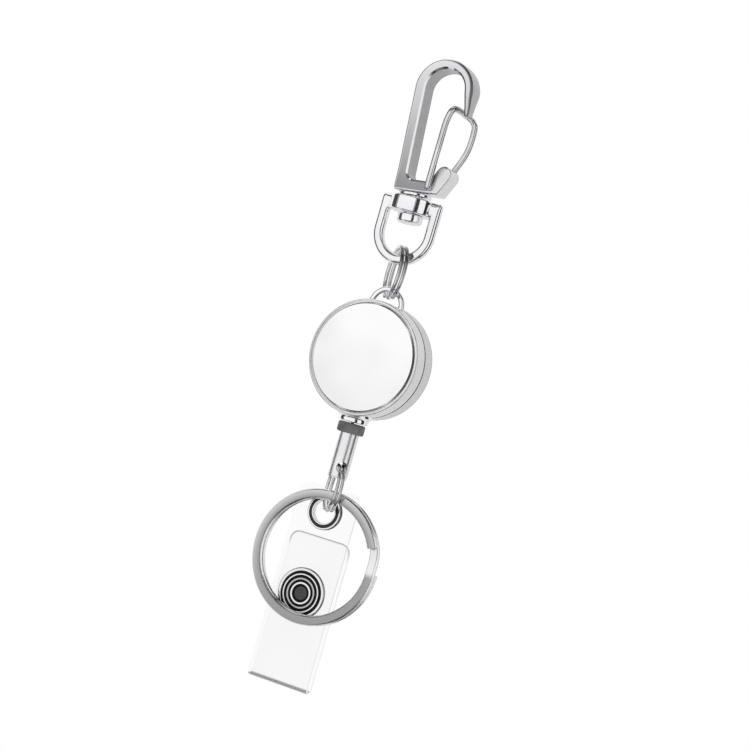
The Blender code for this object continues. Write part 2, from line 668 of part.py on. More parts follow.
def cord_inner_layers(parent):
    ceiling, floor, front, rear = works_levels()
    core, layer = winding_levels()
    top = front - FLANGE - SEAT_GAP
    bottom = rear + FLANGE + SEAT_GAP
    outer = core + CORD_LAYERS
    edge = CORD_DIAMETER / 2
    profile = [(core, top), (outer - edge, top), (outer, top - edge), (outer, bottom + edge),
               (outer - edge, bottom), (core, bottom)]
    return turned("cord_inner_layers", profile, parent, CORD, closed=True, steps=40, front=True)


def leaving_angle():
    # Where the cord leaves the drum on a straight line to the nozzle's neck
    core, layer = winding_levels()
    neck = CASE_RADIUS - CASE_WALL - NECK_REACH - CORD_DIAMETER
    return math.acos(layer / neck), layer, neck


def cord_outer_layer(parent):
    # Half-filled last layer; it ends in the nozzle's plane, where the cord leaves the drum
    swing, layer, neck = leaving_angle()
    ceiling, floor, front, rear = works_levels()
    room = front - FLANGE - CORD_DIAMETER / 2 - RUNNING_GAP
    turns = room / CORD_PITCH
    count = round(turns * 24)
    points = []
    for step in range(count + 1):
        angle = swing - math.pi / 2 + 2 * math.pi * turns * (1 - step / count)
        depth = room * (1 - step / count)
        points.append(Vector((layer * math.cos(angle), -depth, layer * math.sin(angle))))
    least = min((a - b).length for i, a in enumerate(points) for b in points[i + 12:])
    print("cord_outer_layer least gap to itself, mm:", round((least - CORD_DIAMETER) / MM, 3))
    return wire("cord_outer_layer", points, CORD_DIAMETER, parent, CORD, sides=1)


def cord_run(parent):
    # From the drum over the neck's mouth, down through nozzle and stopper to the crimp
    swing, layer, neck = leaving_angle()
    drop = CASE_Z - NOZZLE_Z
    leave = Vector((layer * math.sin(swing), 0, drop - layer * math.cos(swing)))
    mouth = Vector((0, 0, drop - neck))
    along = (mouth - leave).normalized()
    start = leave + along * (CORD_DIAMETER / 2 + SEAT_GAP)
    bottom = crimp_bottom()
    points = [start, start.lerp(mouth, 0.5), mouth - along * CORD_DIAMETER,
              mouth + Vector((0, 0, -CORD_DIAMETER)), (0, 0, 0), (0, 0, bottom / 2), (0, 0, bottom)]
    return wire("cord_run", smooth_path(points, 5), CORD_DIAMETER, parent, CORD, sides=1)


def stopper(parent):
    top = STOPPER_Z - NOZZLE_Z
    bottom = top - STOPPER_HEIGHT
    bore = CORD_DIAMETER / 2 + CORD_CLEARANCE
    socket = FERRULE_RADIUS + SEAT_GAP
    roof = bottom + STOPPER_SOCKET + SEAT_GAP
    profile = [(bore, top), (STOPPER_RADIUS - STOPPER_EDGE, top), (STOPPER_RADIUS, top - STOPPER_EDGE),
               (STOPPER_RADIUS, bottom + STOPPER_EDGE), (STOPPER_RADIUS - STOPPER_EDGE, bottom),
               (socket, bottom), (socket, roof), (bore, roof)]
    return turned("stopper", profile, parent, RUBBER, closed=True, steps=32)


def ferrule(parent):
    top = FERRULE_Z - NOZZLE_Z
    bottom = top - FERRULE_LENGTH
    hole = CORD_DIAMETER / 2 + CORD_CLEARANCE
    bore = FERRULE_RADIUS - FERRULE_WALL
    edge = FERRULE_WALL / 2
    profile = [(hole, top), (FERRULE_RADIUS - edge, top), (FERRULE_RADIUS, top - edge),
               (FERRULE_RADIUS, bottom + edge), (FERRULE_RADIUS - edge, bottom), (bore, bottom),
               (bore, top - FERRULE_TOP), (hole, top - FERRULE_TOP)]
    made = turned("ferrule", profile, parent, CHROME, closed=True, steps=32)
    across = Vector((math.sin(RING_TURN), -math.cos(RING_TURN), 0)) * FERRULE_RADIUS * 2
    middle = Vector((0, 0, HOLE_Z - NOZZLE_Z))
    hole_cut = rod("ferrule_hole", middle - across, middle + across, FERRULE_HOLE_RADIUS, parent, steps=24)
    boolean(made, hole_cut, "DIFFERENCE")
    return made


def crimp_bottom():
    return FERRULE_Z - NOZZLE_Z - FERRULE_TOP - SEAT_GAP - CRIMP_LENGTH


def cord_crimp(parent):
    bottom = crimp_bottom()
    top = bottom + CRIMP_LENGTH
    bore = CORD_DIAMETER / 2 + CORD_CLEARANCE
    waist = CRIMP_RADIUS - CORD_CLEARANCE
    third = CRIMP_LENGTH / 3
    profile = [(bore, top), (CRIMP_RADIUS, top), (waist, top - third), (waist, bottom + third),
               (CRIMP_RADIUS, bottom), (bore, bottom)]
    return turned("cord_crimp", profile, parent, STEEL, closed=True, steps=20)


def key_ring(parent):
    # Flat band wound twice; the front turn breaks where the band crosses to the rear turn
    radius = (KEY_RING_DIAMETER - KEY_RING_BAND) / 2
    shift = (KEY_RING_LAYER + TURN_GAP) / 2
    wide = KEY_RING_BAND / 2
    tall = KEY_RING_LAYER / 2
    edge = KEY_RING_EDGE
    section = bpy.data.curves.new("band_section", "CURVE")
    section.dimensions = "2D"
    section.fill_mode = "NONE"
    add_spline(section, [(wide - edge, -tall), (wide, edge - tall), (wide, tall - edge),
                         (wide - edge, tall), (edge - wide, tall), (-wide, tall - edge),
                         (-wide, edge - tall), (edge - wide, -tall)], True)
    outline = bpy.data.objects.new("band_section", section)
    outline.hide_render = True
    CUTTERS.objects.link(outline)
    curve = bpy.data.curves.new("key_ring", "CURVE")
    curve.dimensions = "3D"
    curve.twist_mode = "Z_UP"
    curve.bevel_mode = "OBJECT"
    curve.bevel_object = outline
    curve.use_fill_caps = True
    count = 96
    points = []
    for step in range(count + 1):
        run = KEY_RING_JOG / 2 + (4 * math.pi - KEY_RING_JOG) * step / count
        side = 1 - 2 * ease((run - 2 * math.pi) / KEY_RING_JOG + 0.5)
        angle = run + KEY_RING_BREAK
        points.append((radius * math.cos(angle), radius * math.sin(angle), side * shift))
    add_spline(curve, points, False)
    made = mesh_from_curve("key_ring", curve, parent, SATIN, PARTS)
    made.data.transform(Matrix.Rotation(math.pi / 2, 4, "X"))
    bpy.data.objects.remove(outline, do_unlink=True)
    made.location = (KEY_RING_X, KEY_RING_Y, KEY_RING_Z - LOWER_RING_Z)
    return made


def strap_outline(top, bottom, corner):
    half = STRAP_WIDTH / 2
    outline = [(-half, bottom), (half, bottom)]
    outline += arc((half - corner, top - corner), corner, 0, 90, 5)
    outline += arc((corner - half, top - corner), corner, 90, 180, 5)
    return outline


def strap_leaf(parent):
    # Front leaf and the fold at its foot, as one bent strip
    outer = FOLD_RADIUS + STRAP_THICKNESS
    inner = FOLD_RADIUS
    foot = FOLD_Z - EYELET_Z
    front = -STRAP_THICKNESS / 2
    fold = (front + outer, foot)
    strip = [(front, STRAP_ABOVE_EYELET)] + arc(fold, outer, 180, 360, 10)
    strip += arc(fold, inner, 360, 180, 8) + [(front + STRAP_THICKNESS, STRAP_ABOVE_EYELET)]
    made = plate("strap_leaf", [strip], STRAP_WIDTH, parent, VINYL, facing="side")
    plan = strap_outline(STRAP_ABOVE_EYELET, 2 * foot, STRAP_CORNER)
    holes = [circle(EYELET_HOLE + EYELET_WALL + SEAT_GAP, 32),
             circle(SNAP_POST_RADIUS + SEAT_GAP, 20, (0, -SNAP_DROP))]
    shape = plate("strap_plan", [plan] + holes, 8 * LEAF_SPACE, parent, None, group=CUTTERS)
    boolean(made, shape, "INTERSECT")
    return made


def flap_pivot_height():
    # Centre of the flap's round foot, just above the end of the fold
    return FOLD_Z - EYELET_Z + LINK_GAP + STRAP_THICKNESS / 2


def strap_flap(parent):
    # Rear leaf, hinged at its foot on the end of the fold
    top = -FLAP_END_DROP - flap_pivot_height()
    outline = strap_outline(top, 0, STRAP_CORNER)
    hole = circle(SNAP_POST_RADIUS + SEAT_GAP, 20, (0, -SNAP_DROP - flap_pivot_height()))
    made = plate("strap_flap", [outline, hole], STRAP_THICKNESS, parent, VINYL)
    foot = rod("flap_foot", (-STRAP_WIDTH / 2, 0, 0), (STRAP_WIDTH / 2, 0, 0), STRAP_THICKNESS / 2,
               parent, steps=12)
    boolean(made, foot, "UNION")
    return made


def eyelet(parent):
    front = STRAP_THICKNESS / 2 + SEAT_GAP
    back = -front - EYELET_FLANGE
    outer = EYELET_HOLE + EYELET_WALL
    top = front + EYELET_FLANGE
    edge = EYELET_FLANGE / 2
    profile = [(EYELET_HOLE, top - edge), (EYELET_HOLE + edge, top), (EYELET_RADIUS - edge, top),
               (EYELET_RADIUS, top - edge), (EYELET_RADIUS, front), (outer, front), (outer, back),
               (EYELET_HOLE, back)]
    return turned("eyelet", profile, parent, CHROME, closed=True, steps=32, front=True)


def eyelet_washer(parent):
    top = -STRAP_THICKNESS / 2 - SEAT_GAP
    bottom = top - EYELET_FLANGE
    inner = EYELET_HOLE + EYELET_WALL + SEAT_GAP
    edge = EYELET_FLANGE / 2
    profile = [(inner, top), (EYELET_RADIUS, top), (EYELET_RADIUS, bottom + edge),
               (EYELET_RADIUS - edge, bottom), (inner, bottom)]
    return turned("eyelet_washer", profile, parent, CHROME, closed=True, steps=32, front=True)


def snap_cap(parent):
    # Ridged disc on the front of the leaf with a hollow post through it
    back = STRAP_THICKNESS / 2 + SEAT_GAP
    top = back + SNAP_FLANGE
    tail = -STRAP_THICKNESS / 2 - SEAT_GAP - SNAP_FLANGE
    profile = [(0, top - SNAP_RIDGE / 2)]
    rings = [0.42, 0.46, 0.54, 0.60, 0.76, 0.82]
    heights = [top - SNAP_RIDGE / 2, top + SNAP_RIDGE, top + SNAP_RIDGE, top, top, top + SNAP_RIDGE / 2]
    profile += [(SNAP_RADIUS * share, height) for share, height in zip(rings, heights)]
    profile += [(SNAP_RADIUS, back), (SNAP_POST_RADIUS, back), (SNAP_POST_RADIUS, tail), (0, tail)]
    return turned("snap_cap", profile, parent, CHROME, steps=32, front=True)


def snap_socket(parent):
    # Ring behind the front leaf that grips the stud
    top = -STRAP_THICKNESS / 2 - SEAT_GAP
    deep = (LEAF_SPACE - 2 * SEAT_GAP) / 2
    bottom = top - deep
    inner = SNAP_BALL_RADIUS + RUNNING_GAP
    post = SNAP_POST_RADIUS + SEAT_GAP
    skin = SNAP_FLANGE
    profile = [(post, top), (SNAP_SOCKET_RADIUS, top), (SNAP_SOCKET_RADIUS, top - skin),
               (SNAP_SOCKET_RADIUS - skin, bottom), (inner, bottom), (inner, top - skin / 2),
               (post, top - skin / 2)]
    return turned("snap_socket", profile, parent, CHROME, closed=True, steps=28, front=True)


def snap_stud(parent):
    # Ball-ended stud on the flap, standing forward into the socket
    base = STRAP_THICKNESS / 2 + SEAT_GAP
    plate_top = base + (LEAF_SPACE - 2 * SEAT_GAP) / 2 - RUNNING_GAP
    ball_top = base + LEAF_SPACE - 2 * SEAT_GAP - SNAP_FLANGE - 2 * RUNNING_GAP
    bore = SNAP_POST_RADIUS + SEAT_GAP
    edge = SNAP_FLANGE / 2
    profile = [(bore, ball_top), (SNAP_BALL_RADIUS - edge, ball_top), (SNAP_BALL_RADIUS, ball_top - edge),
               (SNAP_BALL_RADIUS, plate_top), (SNAP_SOCKET_RADIUS - edge, plate_top),
               (SNAP_SOCKET_RADIUS, plate_top - edge), (SNAP_SOCKET_RADIUS, base), (bore, base)]
    return turned("snap_stud", profile, parent, CHROME, closed=True, steps=28, front=True)


def snap_post(parent):
    # Flat-headed rivet that holds the stud on the flap
    front = STRAP_THICKNESS / 2 + SEAT_GAP + SNAP_FLANGE
    back = -STRAP_THICKNESS / 2 - SEAT_GAP
    bottom = back - SNAP_FLANGE
    edge = SNAP_FLANGE / 2
    head = SNAP_SOCKET_RADIUS
    profile = [(0, front), (SNAP_POST_RADIUS, front), (SNAP_POST_RADIUS, back), (head, back),
               (head, bottom + edge), (head - edge, bottom), (0, bottom)]
    return turned("snap_post", profile, parent, CHROME, steps=28, front=True)


def build():
    turned_hook = Matrix.Rotation(-LEAN, 4, "Y")
    hook_place = -(turned_hook @ Vector((BEARING[0], 0, BEARING[1])))
    hook_frame = pivot("hook_frame", hook_place, turn=(0, -LEAN, 0))
    gate_x, gate_z = gate_pivot_point()
    gate_pin = pivot("gate_pivot", (gate_x, 0, gate_z), hook_frame)
    yoke_pin = pivot("yoke_pivot", (0, 0, YOKE_TOP), hook_frame)
    upper_pin = pivot("upper_ring_pivot", (0, 0, BAIL_Z), turn=(0, 0, RING_TURN))
    reel_pin = pivot("reel_pivot", (0, 0, LUG_Z))
    case = pivot("case_centre", (0, 0, CASE_Z - LUG_Z), reel_pin)
    spool_pin = pivot("spool_pivot", (0, 0, 0), case)
    pull = pivot("cord_pull", (0, 0, NOZZLE_Z))
    lower_pin = pivot("lower_ring_pivot", (0, 0, HOLE_Z), turn=(0, 0, RING_TURN))
    hung_pin = pivot("hung_pivot", (0, 0, LOWER_RING_Z))
    strap_frame = pivot("strap_frame", (STRAP_X, STRAP_Y, EYELET_Z - LOWER_RING_Z), hung_pin)
    snap_frame = pivot("snap_frame", (0, 0, -SNAP_DROP), strap_frame)
    flap_step = STRAP_THICKNESS + LEAF_SPACE
    flap_pin = pivot("flap_pivot", (0, flap_step, flap_pivot_height()), strap_frame)
    stud_frame = pivot("stud_frame", (0, 0, -SNAP_DROP - flap_pivot_height()), flap_pin)

    hook_body(hook_frame)
    swivel_washer(hook_frame)
    swivel_rivet(hook_frame)
    gate_wire(gate_pin)
    swivel_yoke(yoke_pin)
    split_ring("upper_split_ring", UPPER_RING_DIAMETER, UPPER_RING_WIRE, 0.0, upper_pin,
               UPPER_RING_Z - BAIL_Z)
    lug_loop(reel_pin)
    for maker in (front_cover, face_plate, back_cover, nozzle, centre_post, spiral_spring):
        maker(case)
    for maker in (spool, spring_cover, cord_inner_layers, cord_outer_layer):
        maker(spool_pin)
    for maker in (cord_run, stopper, ferrule, cord_crimp):
        maker(pull)
    split_ring("lower_split_ring", LOWER_RING_DIAMETER, LOWER_RING_WIRE, math.pi, lower_pin,
               LOWER_RING_Z - HOLE_Z)
    key_ring(hung_pin)
    for maker in (strap_leaf, eyelet, eyelet_washer):
        maker(strap_frame)
    for maker in (snap_cap, snap_socket):
        maker(snap_frame)
    strap_flap(flap_pin)
    for maker in (snap_stud, snap_post):
        maker(stud_frame)
    bpy.context.view_layer.update()


build()
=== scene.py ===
import json
import math
import bpy
import numpy as np
from mathutils import Matrix, Vector
from mathutils.geometry import delaunay_2d_cdt


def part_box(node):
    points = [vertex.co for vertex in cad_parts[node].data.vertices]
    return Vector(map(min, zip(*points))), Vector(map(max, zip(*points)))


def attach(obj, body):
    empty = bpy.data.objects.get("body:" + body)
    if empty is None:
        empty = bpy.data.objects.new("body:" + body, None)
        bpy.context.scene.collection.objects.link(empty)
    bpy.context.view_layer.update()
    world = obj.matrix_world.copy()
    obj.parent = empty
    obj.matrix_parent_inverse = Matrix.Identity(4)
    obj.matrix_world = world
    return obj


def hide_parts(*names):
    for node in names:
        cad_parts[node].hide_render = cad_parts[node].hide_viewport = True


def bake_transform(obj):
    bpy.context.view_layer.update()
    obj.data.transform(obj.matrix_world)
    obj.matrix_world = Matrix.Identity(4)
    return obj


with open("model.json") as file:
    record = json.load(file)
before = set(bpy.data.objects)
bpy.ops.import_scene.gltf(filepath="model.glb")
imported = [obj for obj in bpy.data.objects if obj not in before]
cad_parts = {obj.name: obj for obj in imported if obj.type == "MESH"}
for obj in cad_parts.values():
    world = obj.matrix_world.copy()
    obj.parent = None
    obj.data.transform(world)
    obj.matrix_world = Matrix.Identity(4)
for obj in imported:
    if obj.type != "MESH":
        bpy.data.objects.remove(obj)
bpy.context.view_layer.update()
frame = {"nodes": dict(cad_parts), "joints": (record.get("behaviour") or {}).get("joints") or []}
mm = 0.001
joints = {joint["name"]: joint for joint in frame["joints"]}

# camera: off to the gate's side, level with the reel, tipped so that the chain leans right
view = {"turn": 24.6, "rise": -1.2, "roll": 15.95, "away": 500.0, "aim": (2.26, 0.0, -77.2),
        "sensor": 36.0, "focus": 2038.0, "picture": 750.0, "nearest": 0.01}
viewTurn, viewRise, viewRoll = (math.radians(view[key]) for key in ("turn", "rise", "roll"))
back = Vector((math.sin(viewTurn) * math.cos(viewRise), -math.cos(viewTurn) * math.cos(viewRise),
               math.sin(viewRise)))
right = Vector((math.cos(viewTurn), math.sin(viewTurn), 0.0))
up = back.cross(right)
tippedRight = right * math.cos(viewRoll) + up * math.sin(viewRoll)
tippedUp = up * math.cos(viewRoll) - right * math.sin(viewRoll)
camera = bpy.data.objects.new("camera", bpy.data.cameras.new("camera"))
camera.data.sensor_width = view["sensor"]
camera.data.lens = view["sensor"] * view["focus"] / view["picture"]
camera.data.clip_start = view["nearest"]
camera.matrix_world = Matrix((tippedRight, tippedUp, back)).transposed().to_4x4()
camera.matrix_world.translation = (Vector(view["aim"]) + back * view["away"]) * mm
bpy.context.scene.collection.objects.link(camera)
bpy.context.scene.camera = camera
bpy.context.scene.view_settings.view_transform = "Standard"
print("camera set")


# shape tools: every shape is a grid of points, rows along its path and columns around it;
# its faces come in groups, one array of point numbers for each group
def gridFaces(rows, columns, wrapRows, wrapColumns, keep=None):
    # quads between neighbouring rows and columns, joined back to the first where wrapped
    row, column = np.meshgrid(np.arange(rows - (not wrapRows)), np.arange(columns - (not wrapColumns)),
                              indexing="ij")
    nextRow, nextColumn = (row + 1) % rows, (column + 1) % columns
    quads = np.stack([row * columns + column, row * columns + nextColumn,
                      nextRow * columns + nextColumn, nextRow * columns + column], -1)
    return quads[keep] if keep is not None else quads.reshape(-1, 4)


def outward(points, groups):
    # sums the volume of the fans from each face's first corner, and turns all faces if it is negative
    volume = 0.0
    for group in groups:
        corner = points[group]
        volume += np.sum(corner[:, :1] * np.cross(corner[:, 1:-1], corner[:, 2:]))
    return [group[:, ::-1] for group in groups] if volume < 0 else groups


def solidGrid(grid, wrapRows=False):
    # closed body from a grid whose columns wrap round; rows that don't wrap end in flat caps
    rows, columns = grid.shape[:2]
    points = grid.reshape(-1, 3)
    groups = [gridFaces(rows, columns, wrapRows, True)]
    if not wrapRows:
        cap = np.arange(columns)[None]
        groups += [cap[:, ::-1], cap + (rows - 1) * columns]
    return points, outward(points, groups)


def fillet(corners, radii, steps=6):
    # each corner gives way to an arc of its radius that touches both of its sides
    corners = np.asarray(corners, float)
    out = []
    for number, (corner, radius) in enumerate(zip(corners, radii)):
        if radius == 0:
            out.append(corner[None])
            continue
        before = unit(corners[number - 1] - corner)
        after = unit(corners[(number + 1) % len(corners)] - corner)
        halfAngle = math.acos(np.clip(before @ after, -1, 1)) / 2
        middle = corner + unit(before + after) * radius / math.sin(halfAngle)
        first = corner + before * radius / math.tan(halfAngle) - middle
        last = corner + after * radius / math.tan(halfAngle) - middle
        sweep = math.acos(np.clip(first @ last / radius ** 2, -1, 1))
        share = np.linspace(0, 1, steps)[:, None]
        arc = (np.sin((1 - share) * sweep) * first + np.sin(share * sweep) * last) / math.sin(sweep)
        out.append(middle + arc)
    return np.concatenate(out)


def spin(profile, centre, facing, steps=96, closed=False):
    # (radius, height) turned about a line: radius times cosine and sine of the angle, height along it;
    # facing "front" turns about -Y and "up" about +Z
    profile = np.asarray(profile, float)
    angle = np.linspace(0, 2 * math.pi, steps, endpoint=False)
    level = profile[:, None, :1] * np.stack([np.cos(angle), np.sin(angle)], -1)[None]
    height = np.broadcast_to(profile[:, None, 1:], level.shape[:2] + (1,))
    if facing == "front":
        grid = np.concatenate([level[..., :1], -height, level[..., 1:]], -1)
    else:
        grid = np.concatenate([level, height], -1)
    return solidGrid((np.asarray(centre) + grid) * mm, wrapRows=closed)


def arcPoints(centre, radius, start, end, count):
    # centre plus radius times cosine and sine, at even angles from start to end in degrees
    angle = np.radians(np.linspace(start, end, count))
    return np.stack([centre[0] + radius * np.cos(angle), centre[1] + radius * np.sin(angle)], -1)


def evenSteps(path, step, closed=False):
    # the same path with points at an even distance along it
    path = np.asarray(path, float)
    if closed:
        path = np.concatenate([path, path[:1]])
    along = np.concatenate([[0], np.cumsum(np.linalg.norm(np.diff(path, axis=0), axis=1))])
    count = int(round(along[-1] / step))
    at = np.linspace(0, along[-1], count + (not closed), endpoint=not closed)
    return np.stack([np.interp(at, along, path[:, axis]) for axis in range(path.shape[1])], -1)


def smoothPath(points, steps):
    # Catmull-Rom spans: each span is a cubic set by its two ends and their neighbours
    points = np.asarray(points, float)
    ends = np.concatenate([points[:1], points, points[-1:]])
    before, start, end, after = (ends[shift:len(ends) - 3 + shift, None] for shift in range(4))
    share = (np.arange(steps) / steps)[None, :, None]
    spans = 0.5 * (2 * start + (end - before) * share
                   + (2 * before - 5 * start + 4 * end - after) * share ** 2
                   + (3 * start - 3 * end + after - before) * share ** 3)
    return np.concatenate([spans.reshape(-1, points.shape[1]), points[-1:]])


def ease(value):
    # 0 to 1 with a level start and end: three squares less two cubes
    value = np.clip(value, 0.0, 1.0)
    return value * value * (3 - 2 * value)


def unit(vectors):
    # each vector divided by its own length
    return vectors / np.linalg.norm(vectors, axis=-1, keepdims=True)


dome = {"rows": 6, "height": 0.6, "least": 0.05}


def tube(path, radius, sides, spokeFrom, domed=True):
    # a circle carried along the path; its first spoke points away from spokeFrom, and each end
    # closes in a dome whose rings shrink by the cosine while they step out by the sine
    path = np.asarray(path, float)
    ahead = unit(np.gradient(path, axis=0))
    size = np.full(len(path), radius)
    if domed:
        lift = np.linspace(1, 0, dome["rows"], endpoint=False) * math.pi / 2
        step = (radius * dome["height"] * np.sin(lift))[:, None]
        path = np.concatenate([path[0] - ahead[0] * step, path, path[-1] + ahead[-1] * step[::-1]])
        ahead = np.concatenate([np.repeat(ahead[:1], dome["rows"], 0), ahead,
                                np.repeat(ahead[-1:], dome["rows"], 0)])
        rim = radius * np.maximum(np.cos(lift), dome["least"])
        size = np.concatenate([rim, size, rim[::-1]])
    spoke = path - np.asarray(spokeFrom, float)
    spoke = unit(spoke - np.einsum("ij,ij->i", spoke, ahead)[:, None] * ahead)
    side = np.cross(ahead, spoke)
    angle = np.linspace(0, 2 * math.pi, sides, endpoint=False)[None, :, None]
    circle = np.cos(angle) * spoke[:, None] + np.sin(angle) * side[:, None]
    return solidGrid((path[:, None] + size[:, None, None] * circle) * mm)


def thickSheet(middle, normal, thickness, keep, wrapRows=False):
    # two skins half a thickness each side of a surface, and walls along every edge that one quad alone has;
    # the walls are the last faces, and their number is given too
    rows, columns = middle.shape[:2]
    quads = gridFaces(rows, columns, wrapRows, False, keep)
    count = rows * columns
    offset = normal * thickness / 2
    points = np.concatenate([(middle + offset).reshape(-1, 3), (middle - offset).reshape(-1, 3)])
    edges = np.concatenate([quads[:, [side, (side + 1) % 4]] for side in range(4)])
    key = np.sort(edges, 1) @ np.array([count, 1])
    _, first, times = np.unique(key, return_index=True, return_counts=True)
    rim = edges[first[times == 1]]
    walls = np.stack([rim[:, 1], rim[:, 0], rim[:, 0] + count, rim[:, 1] + count], -1)
    used, faces = np.unique(np.concatenate([quads, quads[:, ::-1] + count, walls]), return_inverse=True)
    points = points[used] * mm
    return points, outward(points, [faces.reshape(-1, 4)]), len(walls)


def joined(*shapes):
    # several closed bodies in one mesh: face numbers move up by the points that come before
    starts = np.cumsum([0] + [len(points) for points, groups in shapes])
    moved = [group + start for (points, groups), start in zip(shapes, starts) for group in groups]
    return np.concatenate([points for points, groups in shapes]), moved


def piece(name, shape, material, body=None, nodes=(), sharp=40.0):
    # a mesh of the shape, smooth except over sharp edges, with its material and body; the CAD nodes that it
    # replaces are hidden
    points, groups = shape
    mesh = bpy.data.meshes.new(name)
    mesh.from_pydata(points.tolist(), [], sum((group.tolist() for group in groups), []))
    mesh.shade_smooth()
    mesh.set_sharp_from_angle(angle=math.radians(sharp))
    mesh.materials.append(material)
    obj = bpy.data.objects.new(name, mesh)
    bpy.context.scene.collection.objects.link(obj)
    if body:
        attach(obj, body)
    if nodes:
        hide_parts(*nodes)
    return obj


def mark(obj, name, values):
    # one number for each point, which a material reads back by its name
    layer = obj.data.attributes.new(name, "FLOAT", "POINT")
    layer.data.foreach_set("value", np.asarray(values, np.float32))


def boxEnds(node):
    # the CAD node's low and high corners in millimetres
    low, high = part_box(node)
    return np.array(low) / mm, np.array(high) / mm


def boxMiddle(node):
    # half-way between those corners
    low, high = boxEnds(node)
    return (low + high) / 2


# materials: the wear group gives hairlines, a broad cloud and fine grain, all in Object coordinates
wearNoise = {"stretch": (1.0, 1.0, 0.06), "turn": (0.3, 0.5, 0.2),
             "detail": {"hairline": 3.0, "cloud": 2.0, "grain": 4.0},
             "cloudSpread": (0.35, 0.65), "glossSpread": (0.3, 0.7)}


def wearGroup():
    # three noises by position; the hairlines' positions are turned and drawn out along one direction first
    group = bpy.data.node_groups.new("handlingWear", "ShaderNodeTree")
    nodes, links = group.nodes, group.links
    asked = nodes.new("NodeGroupInput")
    given = nodes.new("NodeGroupOutput")
    coordinates = nodes.new("ShaderNodeTexCoord")
    stretch = nodes.new("ShaderNodeMapping")
    stretch.inputs["Scale"].default_value = wearNoise["stretch"]
    stretch.inputs["Rotation"].default_value = wearNoise["turn"]
    links.new(coordinates.outputs["Object"], stretch.inputs["Vector"])
    for name, detail in wearNoise["detail"].items():
        group.interface.new_socket(name + "Size", in_out="INPUT", socket_type="NodeSocketFloat")
        group.interface.new_socket(name, in_out="OUTPUT", socket_type="NodeSocketFloat")
        noise = nodes.new("ShaderNodeTexNoise")
        noise.inputs["Detail"].default_value = detail
        links.new(stretch.outputs["Vector"] if name == "hairline" else coordinates.outputs["Object"],
                  noise.inputs["Vector"])
        links.new(asked.outputs[name + "Size"], noise.inputs["Scale"])
        links.new(noise.outputs["Fac"], given.inputs[name])
    return group


handlingWear = wearGroup()


def blank(name, look):
    # a material with its shader and the wear group at the look's sizes
    material = bpy.data.materials.new(name)
    material.use_nodes = True
    wear = material.node_tree.nodes.new("ShaderNodeGroup")
    wear.node_tree = handlingWear
    for key in wearNoise["detail"]:
        wear.inputs[key + "Size"].default_value = look[key]
    return material, material.node_tree.nodes["Principled BSDF"], wear


def mixColour(material, factor, first, second):
    # a colour between two others by a mask; either may be a fixed colour or a node's output
    node = material.node_tree.nodes.new("ShaderNodeMix")
    node.data_type = "RGBA"
    material.node_tree.links.new(factor, node.inputs["Factor"])
    for end, value in (("A", first), ("B", second)):
        socket = [item for item in node.inputs if item.name == end and item.type == "RGBA"][0]
        if isinstance(value, bpy.types.NodeSocket):
            material.node_tree.links.new(value, socket)
        else:
            socket.default_value = (*value, 1.0)
    return [item for item in node.outputs if item.type == "RGBA"][0]


def remap(material, value, fromRange, toRange):
    # a straight line that takes one range to the other and stops at its ends
    node = material.node_tree.nodes.new("ShaderNodeMapRange")
    numbers = (*fromRange, *toRange)
    for name, number in zip(("From Min", "From Max", "To Min", "To Max"), numbers):
        node.inputs[name].default_value = number
    material.node_tree.links.new(value, node.inputs["Value"])
    return node.outputs["Result"]


def attribute(material, name):
    # the number that mark() left on the points
    node = material.node_tree.nodes.new("ShaderNodeAttribute")
    node.attribute_name = name
    return node.outputs["Fac"]


def cloudTone(material, wear, look):
    # drifts between the look's two tones with the broad cloud
    cloud = remap(material, wear.outputs["cloud"], wearNoise["cloudSpread"], (0.0, 1.0))
    return mixColour(material, cloud, look["tone"], look["toneB"])


def gloss(material, wear, look, noise):
    # roughness runs between the look's two values with one of the noises
    return remap(material, wear.outputs[noise], wearNoise["glossSpread"], (look["rough"], look["roughB"]))


def bump(material, shader, height, strength, distance):
    # leans the normal by the slope of a height
    node = material.node_tree.nodes.new("ShaderNodeBump")
    node.inputs["Strength"].default_value = strength
    node.inputs["Distance"].default_value = distance
    material.node_tree.links.new(height, node.inputs["Height"])
    material.node_tree.links.new(node.outputs["Normal"], shader.inputs["Normal"])


bumpDepth = {"metal": 0.00002, "moulded": 0.00003, "vinyl": 0.0001}


def metal(name, look):
    # tone by cloud, gloss by hairlines; the "tone" mark, where a piece has one, leads over to a second,
    # darker and rougher tone that is painted shade and painted dark reflection
    material, shader, wear = blank(name, look)
    links = material.node_tree.links
    shader.inputs["Metallic"].default_value = 1.0
    colour = cloudTone(material, wear, look)
    rough = gloss(material, wear, look, "hairline")
    if "paintedShade" in look:
        mask = attribute(material, "tone")
        colour = mixColour(material, mask, colour, look["paintedShade"])
        blendRough = material.node_tree.nodes.new("ShaderNodeMix")
        links.new(mask, blendRough.inputs["Factor"])
        links.new(rough, blendRough.inputs["A"])
        blendRough.inputs["B"].default_value = look["paintedShadeRough"]
        rough = blendRough.outputs["Result"]
    links.new(colour, shader.inputs["Base Color"])
    links.new(rough, shader.inputs["Roughness"])
    bump(material, shader, wear.outputs["grain"], look["bump"], bumpDepth["metal"])
    return material
